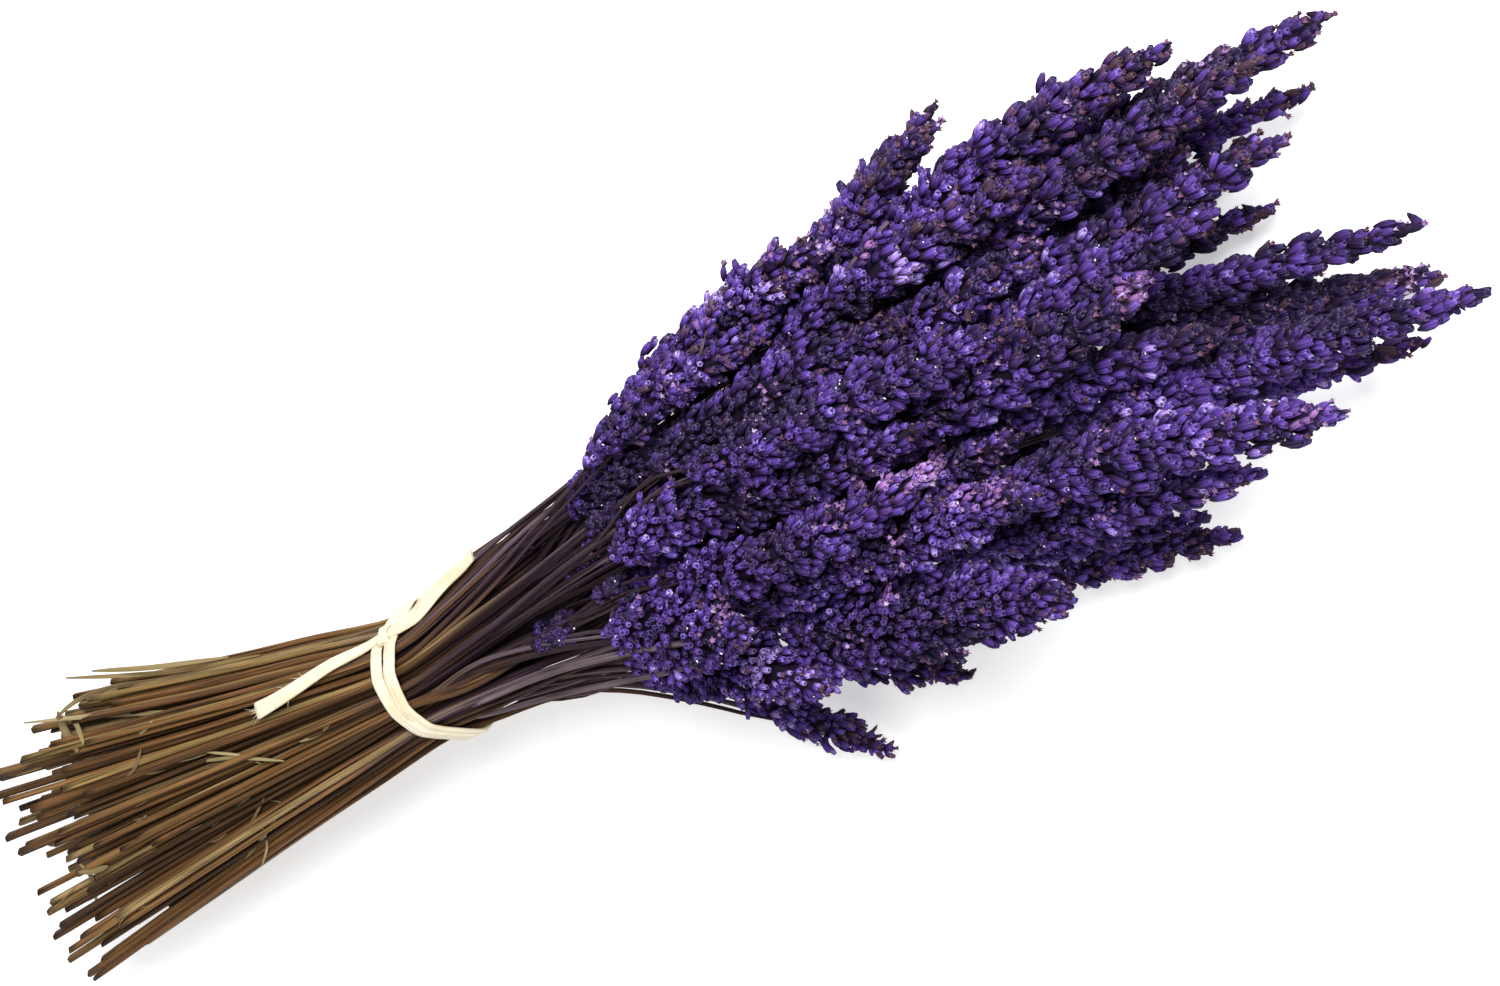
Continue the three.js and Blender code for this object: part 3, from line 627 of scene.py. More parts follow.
def make_bar(sides: int, cuts: int, groove: float) -> Blank:
    """Models a straight bar along +Z, 1 long and 1 in radius, for what is bent along a path.

    Args:
        sides: Points round it.
        cuts: Cuts along it.
        groove: Radius of every second point, as a share.

    Returns:
        The bar.
    """
    sizes = {"vertices": sides, "radius": 1.0, "depth": 1.0, "location": (0.0, 0.0, 0.5)}
    bench = Bench(bpy.ops.mesh.primitive_cylinder_add, end_fill_type="NGON", **sizes)
    bench.scale(lambda p: at_odd_corner(p, sides), groove, groove, 1.0)
    bench.pick(lambda p: p.z < 0)
    bpy.ops.mesh.select_mode(type="FACE")
    bpy.ops.mesh.inset(thickness=0.3)
    bpy.ops.transform.translate(value=(0.0, 0.0, 0.002))
    bench.cut(Vector((0.0, 0.0, 1.0)), [k / (cuts + 1) for k in range(1, cuts + 1)])
    return bench.close()


def make_strip(cuts: int, rounding: float) -> Blank:
    """Models a flat strip along +Z, 1 long, 1 wide along X and 1 thick along Y, with rounded edges.

    Args:
        cuts: Cuts along it.
        rounding: Width of its rounded edges.

    Returns:
        The strip.
    """
    bench = Bench(bpy.ops.mesh.primitive_cube_add, size=1.0, location=(0.0, 0.0, 0.5))
    bench.cut(Vector((1.0, 0.0, 0.0)), (-0.5 + rounding, -0.17, 0.17, 0.5 - rounding))
    bench.scale(lambda p: abs(p.x) > 0.49, 1.0, 0.35, 1.0)
    bench.cut(Vector((0.0, 0.0, 1.0)), [k / (cuts + 1) for k in range(1, cuts + 1)])
    return bench.close()


# ---- Where things run ----


def unit(vectors: np.ndarray) -> np.ndarray:
    """Scales vectors in rows to a length of 1."""
    return vectors / np.maximum(np.linalg.norm(vectors, axis=-1, keepdims=True), 1e-12)


def swung(start: np.ndarray, aside: np.ndarray, angle: np.ndarray) -> np.ndarray:
    """Swings directions in rows from a start to the side by an angle."""
    return start * np.cos(angle)[:, None] + aside * np.sin(angle)[:, None]


def eased(share: np.ndarray | float) -> np.ndarray | float:
    """Makes a share start and end gently."""
    return share * share * (3 - 2 * share)


def smoothed(rows: np.ndarray, width: int) -> np.ndarray:
    """Takes a running mean that keeps the ends.

    Args:
        rows: Values in rows.
        width: How many rows a mean takes.

    Returns:
        The smoothed rows.
    """
    half = width // 2
    start, end = 2 * rows[0] - rows[half:0:-1], 2 * rows[-1] - rows[-2:-2 - half:-1]
    padded = np.concatenate([start, rows, end])
    return np.stack([np.convolve(column, np.ones(width) / width, "valid") for column in padded.T], 1)


@dataclass
class Path:
    """A smooth line in space with the direction that faces outwards along it."""

    points: np.ndarray
    outward: np.ndarray

    def __post_init__(self) -> None:
        """Works out lengths and directions."""
        steps = np.linalg.norm(np.diff(self.points, axis=0), axis=1)
        self.length = float(steps.sum())
        self.share = np.concatenate([[0.0], np.cumsum(steps)]) / self.length
        self.tangent = unit(np.gradient(self.points, self.share, axis=0))
        self.across = unit(np.cross(self.outward, self.tangent))
        self.out = unit(np.cross(self.tangent, self.across))

    def read(self, rows: np.ndarray, share: np.ndarray) -> np.ndarray:
        """Reads rows of values between the path's points, by shares of its length."""
        return np.stack([np.interp(share, self.share, column) for column in rows.T], 1)

    def ways(self, share: np.ndarray) -> list[np.ndarray]:
        """Reads the directions along, across and out of the path."""
        return [unit(self.read(rows, share)) for rows in (self.tangent, self.across, self.out)]

    def bend(self, blank: Blank, width: Callable, thick: Callable | None = None) -> np.ndarray:
        """Bends a straight blank along the path.

        Args:
            blank: A blank along +Z, 1 long.
            width: Its scale along X, from the share of the length.
            thick: Its scale along Y, where that is another.

        Returns:
            The bent points.
        """
        share = blank.points[:, 2]
        _, across, out = self.ways(share)
        x, y = blank.points[:, 0] * width(share), blank.points[:, 1] * (thick or width)(share)
        return self.read(self.points, share) + across * x[:, None] + out * y[:, None]


@dataclass
class Course:
    """Where a flowering stem runs, measured on its solid by cutting it across X."""

    node: bpy.types.Object
    step: float = 1.5 * MM
    margin: float = 0.4 * MM
    stem_below: float = 1.18 * MM
    whorl_above: float = 1.6 * MM
    relief: float = 1.24
    probe: float = 3 * MM

    def __post_init__(self) -> None:
        """Cuts the solid into slices and finds the flower spike and the whorl."""
        mesh = self.node.data
        points = np.empty(len(mesh.vertices) * 3)
        mesh.vertices.foreach_get("co", points)
        points = points.reshape(-1, 3)
        mesh.calc_loop_triangles()
        corners = np.empty(len(mesh.loop_triangles) * 3, np.int64)
        mesh.loop_triangles.foreach_get("vertices", corners)
        triangles = points[corners].reshape(-1, 3, 3)
        self.low, self.high = points[:, 0].min(), points[:, 0].max()
        count = int((self.high - self.low) / self.step)
        self.xs = np.linspace(self.low + self.margin, self.high - self.margin, count)
        slices = np.array([self._slice(triangles, x) for x in self.xs])
        middles = slices[:, 1:]
        self._straighten_cut_end(middles)
        self.middle = smoothed(middles, 7)
        self.radius = np.sqrt(slices[:, 0] / math.pi)
        thin = np.nonzero(self.radius[: int(count * 0.97)] < self.stem_below)[0]
        self.base = self.xs[thin.max()] if len(thin) else self.low
        whorl = (self.radius > self.whorl_above) & (self.xs < self.base)
        self.whorl = (self.xs[whorl].min(), self.xs[whorl].max()) if whorl.any() else None
        self.envelope = smoothed(self.radius[:, None], 7)[:, 0] * self.relief

    def _straighten_cut_end(self, middles: np.ndarray) -> None:
        """Carries the slices' middles on to the slanted cut, where slices are cut short.

        Args:
            middles: The middles, which are changed.
        """
        inner, further = np.searchsorted(self.xs, self.low + np.array([5, 14]) * MM)
        slope = (middles[further] - middles[inner]) / (self.xs[further] - self.xs[inner])
        short = self.xs[:inner] - self.xs[inner]
        middles[:inner] = middles[inner] + short[:, None] * slope

    @staticmethod
    def _slice(triangles: np.ndarray, x: float) -> tuple[float, float, float]:
        """Cuts triangles by a plane across X.

        Args:
            triangles: The solid's triangles.
            x: Where the plane lies.

        Returns:
            The cut's area, and the y and z of its middle.
        """
        side = triangles[:, :, 0] - x
        above = side > 0
        crossing = above.any(1) & ~above.all(1)
        cut, side, above = triangles[crossing], side[crossing], above[crossing]
        lone_above = above.sum(1) == 1
        lone = np.where(lone_above, above.argmax(1), (~above).argmax(1))
        rows = np.arange(len(cut))
        ends = []
        for turn in (1, 2):
            other = (lone + turn) % 3
            share = side[rows, lone] / (side[rows, lone] - side[rows, other])
            ends.append(cut[rows, lone] + share[:, None] * (cut[rows, other] - cut[rows, lone]))
        first = np.where(lone_above[:, None], ends[0], ends[1])[:, 1:]
        second = np.where(lone_above[:, None], ends[1], ends[0])[:, 1:]
        origin = first.mean(0)
        a, b = first - origin, second - origin
        twice = a[:, 0] * b[:, 1] - a[:, 1] * b[:, 0]
        middle = ((a + b) * twice[:, None]).sum(0) / (3 * twice.sum()) + origin
        return abs(twice.sum()) / 2, float(middle[0]), float(middle[1])

    def at(self, x: np.ndarray) -> np.ndarray:
        """Reads points of the centreline along X."""
        return np.stack([x, *(np.interp(x, self.xs, column) for column in self.middle.T)], 1)

    def reach(self, x: np.ndarray) -> np.ndarray:
        """How far the solid reaches from its centreline, smoothed over its relief."""
        return np.interp(x, self.xs, self.envelope)

    def stem_radius(self, x: np.ndarray) -> np.ndarray:
        """Reads the stem's own radius, which goes on inside the spike and the whorl.

        Args:
            x: Where along X.

        Returns:
            The radius at each place.
        """
        stem = (self.xs < self.base) & (self.xs > self.low + 5 * MM)
        if self.whorl:
            stem &= (self.xs < self.whorl[0] - 3 * MM) | (self.xs > self.whorl[1] + 3 * MM)
        return np.interp(x, self.xs[stem], self.radius[stem] * self.relief)

    def frames(self, x: np.ndarray) -> tuple[np.ndarray, np.ndarray, np.ndarray]:
        """Finds directions along, beside and above the centreline.

        Args:
            x: Where along X.

        Returns:
            The three directions at each place.
        """
        along = unit(self.at(x + self.probe) - self.at(x - self.probe) + np.array([1e-9, 0, 0]))
        side = unit(np.cross(np.array([0.0, 0.0, 1.0]), along))
        return along, side, np.cross(along, side)

    def path(self, start: float, end: float, count: int) -> Path:
        """Takes the centreline between two places along X as a path with a number of points."""
        x = np.linspace(start, end, count)
        return Path(self.at(x), self.frames(x)[2])


class TuckedCourse(Course):
    """Where a short spike runs that is tucked in under the others."""

    def __init__(self, start: np.ndarray, end: np.ndarray, radius: float) -> None:
        """Draws the course.

        Args:
            start: Where its stalk begins.
            end: Its tip.
            radius: How far its flowers reach.
        """
        self.low, self.high, self.whorl = float(start[0]), float(end[0]), None
        self.base = self.low + 12 * MM
        self.xs = np.linspace(self.low, self.high, 60)
        share = np.linspace(0.0, 1.0, 60)
        self.middle = (start + share[:, None] * (end - start))[:, 1:]
        self.envelope = radius * np.minimum(share * 4, 1.0) * (1.0 - 0.75 * share**3)
        self.radius = np.full(60, 0.7 * MM)


# ---- Gathering shapes into pieces ----


@dataclass
class Batch:
    """Copies of one blank with one finish, and the size of their cells on the unwrapped sheet."""

    blank: Blank
    finish: Finish
    points: np.ndarray
    tints: np.ndarray
    straights: np.ndarray
    cell: float
    long: bool

    @property
    def corners(self) -> np.ndarray:
        """Which point each corner of each copy uses."""
        return (np.arange(len(self.points))[:, None] * len(self.blank.points) + self.blank.corners).ravel()

    def per_face(self, value: np.ndarray | int) -> np.ndarray:
        """Repeats a value, or one for each of the blank's faces, over the copies."""
        return np.tile(np.broadcast_to(value, len(self.blank.sizes)), len(self.points))


class Sheaf:
    """Copies of blanks and bent bars, gathered into the mesh of one piece."""

    def __init__(self) -> None:
        """Starts empty."""
        self.batches: list[Batch] = []

    def add(
        self, blank: Blank, points: np.ndarray, finish: Finish, size: tuple, tone: float,
        mark: np.ndarray | float = 0.0,
    ) -> None:
        """Adds one bent shape.

        Args:
            blank: Whose faces it has.
            points: Its points.
            finish: Its finish.
            size: Its size while straight.
            tone: Its tone.
            mark: Its finish's mark at each point.
        """
        points[:, 2] = np.maximum(points[:, 2], 0.0)
        tints = np.zeros_like(points)
        tints[:, 0], tints[:, 2] = tone, mark
        straight = blank.points * np.array(size) + tone
        cell = 2.0 + 1600 * size[0]
        self.batches.append(Batch(blank, finish, points[None], tints[None], straight[None], cell, True))

    def add_copies(
        self, blank: Blank, places: np.ndarray, axes: np.ndarray, finish: Finish, tints: np.ndarray
    ) -> None:
        """Adds many copies of a blank.

        Args:
            blank: The shape.
            places: Each copy's place.
            axes: Each copy's three axes in rows, scaled.
            finish: Their finish.
            tints: Each copy's tone and its finish's mark.
        """
        if len(places) == 0:
            return
        points = np.einsum("pa,cab->cpb", blank.points, axes) + places[:, None, :]
        points[:, :, 2] += np.maximum(-points[:, :, 2].min(1), 0.0)[:, None]
        shades = np.empty_like(points)
        shades[:, :, 1] = blank.along
        shades[:, :, ::2] = tints[:, None]
        sizes = np.linalg.norm(axes, axis=2)
        cell = 0.4 + 1000 * float(sizes[:, 2].mean())
        self.batches.append(Batch(blank, finish, points, shades, blank.points * sizes[:, None], cell, False))

    def _unwrapped(self) -> np.ndarray:
        """Lays every shape out in a cell of its own, long ones across the whole sheet.

        Returns:
            Each corner's place on the sheet, from 0 to 1.
        """
        area = sum(60 * b.cell if b.long else len(b.points) * b.cell**2 for b in self.batches)
        width, top = max(math.sqrt(area), 10.0), 0.0
        laid = []
        for batch in self.batches:
            in_row = 1 if batch.long else max(int(width / batch.cell), 1)
            order = np.arange(len(batch.points))
            shift = np.stack([order % in_row * batch.cell, top + order // in_row * batch.cell], 1)
            scale = np.array([width if batch.long else batch.cell, batch.cell])
            laid.append(((0.05 + 0.9 * batch.blank.layout) * scale + shift[:, None]).reshape(-1, 2))
            top += math.ceil(len(order) / in_row) * batch.cell
        return np.concatenate(laid) / np.array([width, top])

    def _rows(self, name: str) -> np.ndarray:
        """Gathers one kind of row from every batch, flat and ready for a mesh."""
        return np.concatenate([getattr(batch, name).ravel() for batch in self.batches]).astype(np.float32)

    def make(self, name: str, palette: dict[Finish, bpy.types.Material]) -> bpy.types.Object:
        """Makes the piece, its place in its mesh.

        Args:
            name: The piece's name.
            palette: The finished materials.

        Returns:
            The piece.
        """
        mesh, batches = bpy.data.meshes.new(name), self.batches
        firsts = np.cumsum([0] + [batch.points.size // 3 for batch in batches])
        corners = np.concatenate([batch.corners + first for batch, first in zip(batches, firsts)])
        sizes = np.concatenate([batch.per_face(batch.blank.sizes) for batch in batches])
        mesh.vertices.add(int(firsts[-1]))
        mesh.vertices.foreach_set("co", self._rows("points"))
        mesh.loops.add(len(corners))
        mesh.loops.foreach_set("vertex_index", corners.astype(np.int32))
        mesh.polygons.add(len(sizes))
        mesh.polygons.foreach_set("loop_start", (np.cumsum(sizes) - sizes).astype(np.int32))
        used = [finish for finish in Finish if any(batch.finish is finish for batch in batches)]
        for finish in used:
            mesh.materials.append(palette[finish])
        slots = np.concatenate([batch.per_face(used.index(batch.finish)) for batch in batches])
        mesh.polygons.foreach_set("material_index", slots.astype(np.int32))
        mesh.update(calc_edges=True)
        flats = np.concatenate([batch.per_face(batch.blank.ends & batch.long) for batch in batches])
        mesh.polygons.foreach_set("use_smooth", ~flats)
        sheet = mesh.uv_layers.new(name="OFBake")
        sheet.uv.foreach_set("vector", self._unwrapped().astype(np.float32).ravel())
        tints = np.ones((firsts[-1], 4), np.float32)
        tints[:, :3] = self._rows("tints").reshape(-1, 3)
        mesh.attributes.new(TINT, "FLOAT_COLOR", "POINT").data.foreach_set("color", tints.ravel())
        straight = mesh.attributes.new(STRAIGHT, "FLOAT_VECTOR", "POINT")
        straight.data.foreach_set("vector", self._rows("straights"))
        mesh.validate()
        piece = bpy.data.objects.new(name, mesh)
        bpy.context.scene.collection.objects.link(piece)
        return piece


def dress(piece: bpy.types.Object, slot: str, *nodes: str) -> None:
    """Makes a piece ride on the bunch and stand for its solids.

    Args:
        piece: The piece.
        slot: The record's material slot; not used.
        nodes: The solids that it stands for.
    """
    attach(piece, BODY)
    if nodes:
        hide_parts(*nodes)


# ---- Stage ----

Pixel = tuple[float, float]


@dataclass
class Studio:
    """The pale floor, the soft light and the camera."""

    target: Vector
    distance: float = 0.581
    tilt: float = math.radians(30)
    roll: float = math.radians(27.5)
    focal_px: float = 2963.0
    frame_px: float = 1500.0
    frame_height: float = 986.0
    sensor: float = 36.0

    def __post_init__(self) -> None:
        """Works out where the camera is and how it is turned."""
        self.back = Vector((math.sin(self.tilt), 0, math.cos(self.tilt)))
        ahead = (Vector((1, 0, 0)) - self.back * self.back.x).normalized()
        left = self.back.cross(ahead)
        self.right = ahead * math.cos(self.roll) - left * math.sin(self.roll)
        self.up = ahead * math.sin(self.roll) + left * math.cos(self.roll)
        self.place = self.target + self.back * self.distance

    def at_heights(self, pixel: Pixel, heights: np.ndarray | float) -> np.ndarray:
        """Finds the places at some heights that show at a pixel of the photograph.

        Args:
            pixel: The pixel.
            heights: One height or several.

        Returns:
            The place or places.
        """
        across = (pixel[0] - self.frame_px / 2) / self.focal_px
        upward = (self.frame_height / 2 - pixel[1]) / self.focal_px
        way = (self.right * across + self.up * upward - self.back).normalized()
        return np.array(self.place) + np.multiply.outer((heights - self.place.z) / way.z, np.array(way))

    def seen(self, places: np.ndarray) -> np.ndarray:
        """Finds the pixels at which places show.

        Args:
            places: The places.

        Returns:
            Their pixels.
        """
        away = places - np.array(self.place)
        scale = self.focal_px / -(away @ np.array(self.back))
        across, upward = away @ np.array(self.right) * scale, away @ np.array(self.up) * scale
        return np.stack([self.frame_px / 2 + across, self.frame_height / 2 - upward], 1)

    def build(self) -> None:
        """Adds the camera, the floor and the lights."""
        self._add_camera()
        self._add_floor()
        self._add_lights()

    def _add_camera(self) -> None:
        """Adds the camera, which looks down on the bunch from the side of its flowers."""
        data = bpy.data.cameras.new("camera")
        camera = bpy.data.objects.new("camera", data)
        bpy.context.scene.collection.objects.link(camera)
        rows = [[self.right[k], self.up[k], self.back[k], self.place[k]] for k in range(3)]
        camera.matrix_world = Matrix(rows + [[0, 0, 0, 1]])
        data.sensor_width = self.sensor
        data.lens = self.focal_px / self.frame_px * self.sensor
        data.clip_start = 0.01
        bpy.context.scene.camera = camera

    @staticmethod
    def _add_floor() -> None:
        """Adds the floor."""
        bpy.ops.object.select_all(action="DESELECT")
        bpy.ops.mesh.primitive_plane_add(size=40.0, location=(0.0, 0.0, -0.2 * MM))
        floor = bpy.context.object
        floor.name = "floor"
        g = Graph("pale_floor")
        g.set(Base_Color=(0.95, 0.95, 0.95), Roughness=0.9, Specular_IOR_Level=0.1)
        g.set(Emission_Color=(1.0, 1.0, 1.0), Emission_Strength=0.42)
        floor.data.materials.append(g.material)

    @staticmethod
    def _add_lights() -> None:
        """Adds a key light, a fill light and the bright surroundings."""
        world = bpy.data.worlds.new("surroundings")
        world.use_nodes = True
        sky = world.node_tree.nodes["Background"]
        sky.inputs[0].default_value = (1.0, 1.0, 1.0, 1.0)
        sky.inputs[1].default_value = 0.38
        bpy.context.scene.world = world
        for name, place, energy, size in (
            ("key", (0.42, 0.26, 0.68), 8.2, 0.34),
            ("fill", (-0.3, -0.5, 0.8), 1.6, 0.8),
        ):
            data = bpy.data.lights.new(name, "AREA")
            data.energy = energy
            data.size = size
            lamp = bpy.data.objects.new(name, data)
            lamp.location = place
            lamp.rotation_euler = Vector(place).to_track_quat("Z", "Y").to_euler()
            bpy.context.scene.collection.objects.link(lamp)
        bpy.context.scene.view_settings.view_transform = "Standard"


@dataclass
class Workshop:
    """What every piece is made with: the photograph's view, courses, materials and blanks."""

    studio: Studio
    tie_x: float
    courses: list[Course]
    palette: dict[Finish, bpy.types.Material]
    calyx: Blank = field(default_factory=make_calyx)
    petals: Blank = field(default_factory=make_petals)
    crumb: Blank = field(default_factory=make_crumb)
    bract: Blank = field(default_factory=make_bract)
    stem: Blank = field(default_factory=lambda: make_bar(8, 44, 0.8))
    core: Blank = field(default_factory=lambda: make_bar(8, 14, 1.0))
    strip: Blank = field(default_factory=lambda: make_strip(70, 0.1))
    scrap: Blank = field(default_factory=lambda: make_strip(14, 0.12))
    fibre: Blank = field(default_factory=lambda: make_bar(4, 4, 1.0))


# ---- The flowering stems ----


@dataclass(frozen=True)
class Stroke:
    """Flowers whose tone differs from their neighbours, by the pixels that they run past: partly their own
    colour, partly painted light and shade.
    """

    pixels: tuple[Pixel, ...]
    radius: float
    paler: float = 0.0
    pinker: float = 0.0

    def weight(self, seen: np.ndarray) -> np.ndarray:
        """Finds how much places belong to the stroke.

        Args:
            seen: The places' pixels.

        Returns:
            Shares from 0 to 1.
        """
        nearest = np.full(len(seen), np.inf)
        for start, end in zip(np.array(self.pixels[:-1]), np.array(self.pixels[1:])):
            run = end - start
            share = np.clip((seen - start) @ run / (run @ run), 0, 1)
            nearest = np.minimum(nearest, np.linalg.norm(seen - start - share[:, None] * run, axis=1))
        return eased(np.clip(1.5 - nearest / self.radius, 0, 1))


# Darker heads: partly darker dried heads, partly painted shade in the valleys between spikes and on spikes
# lying under others.
DARK_AND_SHADED_HEADS = (
    Stroke(((1090, 335), (1200, 306), (1320, 296), (1400, 276)), 23, -0.56),
    Stroke(((1150, 255), (1230, 252), (1330, 240), (1410, 225)), 20, -0.42),
    Stroke(((1190, 340), (1290, 330), (1345, 318)), 17, -0.4),
    Stroke(((1085, 170), (1150, 108), (1230, 45)), 24, -0.5),
    Stroke(((1030, 345), (1060, 325), (1110, 300)), 18, -0.4),
    Stroke(((600, 505), (645, 460), (700, 430), (780, 398)), 23, -0.6),
    Stroke(((800, 350), (880, 310), (960, 290), (1060, 212)), 12, -0.4),
    Stroke(((900, 235), (985, 232)), 16, -0.25),
    Stroke(((1020, 445), (1090, 465)), 20, -0.42),
    Stroke(((745, 495), (795, 555)), 26, -0.45),
    Stroke(((835, 636), (900, 642), (970, 650)), 22, -0.4),
    Stroke(((1140, 195), (1185, 212), (1230, 235)), 20, -0.38),
    Stroke(((1068, 266), (1112, 262)), 17, -0.25),
    Stroke(((1225, 434), (1310, 434)), 13, -0.28),
    Stroke(((985, 622), (1045, 640)), 18, -0.25),
    Stroke(((690, 640), (725, 610)), 16, -0.2),
    Stroke(((1360, 262), (1430, 262)), 14, -0.3),
)
# Lighter heads: partly paler heads, partly painted light on lit ridges and where shadows fell.
PALE_AND_LIT_HEADS = (
    Stroke(((705, 300), (780, 288), (835, 255)), 16, 0.35, 0.2),
    Stroke(((925, 200), (970, 160)), 16, 0.3, 0.15),
    Stroke(((905, 262), (955, 270)), 13, 0.35),
    Stroke(((1005, 295), (1055, 258)), 15, 0.4),
    Stroke(((1045, 425), (1090, 402), (1150, 400), (1250, 392), (1300, 408)), 16, 0.26, 0.15),
    Stroke(((940, 555), (1050, 562)), 20, 0.3),
    Stroke(((768, 642), (790, 620), (830, 612)), 18, 0.4, 0.1),
    Stroke(((755, 665), (835, 680)), 15, 0.3, 0.1),
    Stroke(((765, 440), (785, 425)), 14, 0.3),
)
PINK_HEADS = (
    Stroke(((895, 482), (935, 462)), 17, 0.3, 0.9),
    Stroke(((955, 500), (1005, 488)), 14, 0.2, 0.8),
    Stroke(((1130, 292), (1150, 286)), 11, 0.3, 1.0),
    Stroke(((1300, 418), (1325, 410)), 10, 0.05, 0.7),
    Stroke(((896, 540), (892, 600)), 10, 0.1, 0.6),
)
STROKES = (*DARK_AND_SHADED_HEADS, *PALE_AND_LIT_HEADS, *PINK_HEADS)


@dataclass(frozen=True)
class Tucked:
    """A short spike under the others, from a pixel and height to another."""

    start: tuple[Pixel, float]
    end: tuple[Pixel, float]
    radius: float


TUCKED_SPIKES = (
    Tucked(((1055, 346), 17 * MM), ((1434, 268), 10 * MM), 4.2 * MM),
    Tucked(((960, 482), 20 * MM), ((1120, 428), 17 * MM), 4.6 * MM),
)


def cloud(places: np.ndarray, one: Colour, other: Colour, shift: float = 0.0) -> np.ndarray:
    """Crosses two waves in space, given by their steepness along each axis, from -1 to 1."""
    return np.sin(places @ np.array(one) + shift) * np.sin(places @ np.array(other))


@dataclass
class FloweringStem:
    """One stem with its flower spike: grooved stem, thinner stems beside it, core and flowers."""

    name: str
    shop: Workshop
    course: Course
    others: list[Course]
    rng: np.random.Generator
    paler: float = 0.0
    companions: int = 3
    stem_share: float = 0.6
    core_share: float = 0.42
    slimming: float = 0.48
    slim_after: float = 60 * MM
    squeezed_share: float = 0.35
    squeezed_within: float = 25 * MM
    eased_after: float = 40 * MM
    eased_by: float = 2.5 * MM

    def build(self) -> bpy.types.Object:
        """Builds the whole flowering stem.

        Returns:
            The piece.
        """
        self.sheaf = Sheaf()
        self.tone = self.rng.random()
        self._add_stems()
        self._add_core()
        Flowers(self, self.course.base, self.course.high, True).add()
        if self.course.whorl:
            Flowers(self, *self.course.whorl, False).add()
        return self.sheaf.make(self.name, self.shop.palette)

    def _add_stems(self) -> None:
        """Adds the stem, from its slanted cut end into the spike, and the thinner ones beside it."""
        course, rng, blank = self.course, self.rng, self.shop.stem
        end = course.base + 0.5 * (course.high - course.base)
        first_way = rng.uniform(0, TURN)
        for beside in range(1 + self.companions):
            start = course.low + (rng.uniform(1, 26) * MM if beside else 0.0)
            path = course.path(start, end, 70)
            x = path.points[:, 0]
            slimmer = 1 - self.slimming * np.clip((x - self.shop.tie_x) / self.slim_after - 0.2, 0, 1)
            radii = course.stem_radius(x) * self.stem_share * slimmer
            if beside:
                radii = radii * rng.uniform(0.6, 0.95)
                way = first_way + TURN * beside / self.companions + rng.uniform(-1.5, 1.5) * path.share
                path = self._beside(path, radii, way)
            turned = blank.turned(rng.random() * math.pi)
            points = path.bend(turned, partial(np.interp, xp=path.share, fp=radii))
            cut = blank.points[:, 2] < 0.01
            points[cut, 0] += turned.points[cut, 0] * rng.uniform(0.0001, 0.0007)
            # Painted shade: every thinner stem after the first one beside the stem gets a darker tone, as it
            # lies deeper in the bundle.
            tone = rng.random() * (0.6 if beside > 1 else 1.0)
            pith = cut & (np.hypot(blank.points[:, 0], blank.points[:, 1]) < 0.75)
            self.sheaf.add(blank, points, Finish.STEM, (1.2 * MM, 1.2 * MM, path.length), tone, pith)

    def _beside(self, path: Path, radii: np.ndarray, way: np.ndarray) -> Path:
        """Moves a path to the side of its stem, close at the tie, and straightens it past the tie.

        Args:
            path: The stem's path.
            radii: The thinner stem's radii.
            way: The angles at which the thinner stem lies beside it.

        Returns:
            The thinner stem's path.
        """
        x = path.points[:, 0]
        past_tie = x - self.shop.tie_x
        loose = np.minimum(np.abs(past_tie) / self.squeezed_within, 1)
        squeeze = self.squeezed_share + (1 - self.squeezed_share) * loose
        away = (radii + self.course.stem_radius(x) * self.stem_share) * 0.95 * squeeze
        side, up = self.course.frames(x)[1:]
        straighter = smoothed(path.points, 25) - path.points
        ease = np.clip(past_tie / self.eased_after - 0.3, 0, 1)
        ease *= self.eased_by / np.maximum(np.linalg.norm(straighter, axis=1), self.eased_by)
        points = path.points + straighter * ease[:, None] + swung(side, up, way) * away[:, None]
        points[:, 2] = np.maximum(points[:, 2], radii)
        return Path(points, path.outward)

    def _add_core(self) -> None:
        """Adds the core that the calyxes grow from, tinted near black as painted shade deep inside the spike.
        """
        start, end = self.course.base, self.course.high - 2 * MM
        path = self.course.path(start, end, 30)

        def radius(share: np.ndarray) -> np.ndarray:
            """The core's radius along it."""
            return self.course.reach(start + share * (end - start)) * self.core_share

        points = path.bend(self.shop.core, radius)
        self.sheaf.add(self.shop.core, points, Finish.CALYX, (4 * MM, 4 * MM, path.length), 0.05)


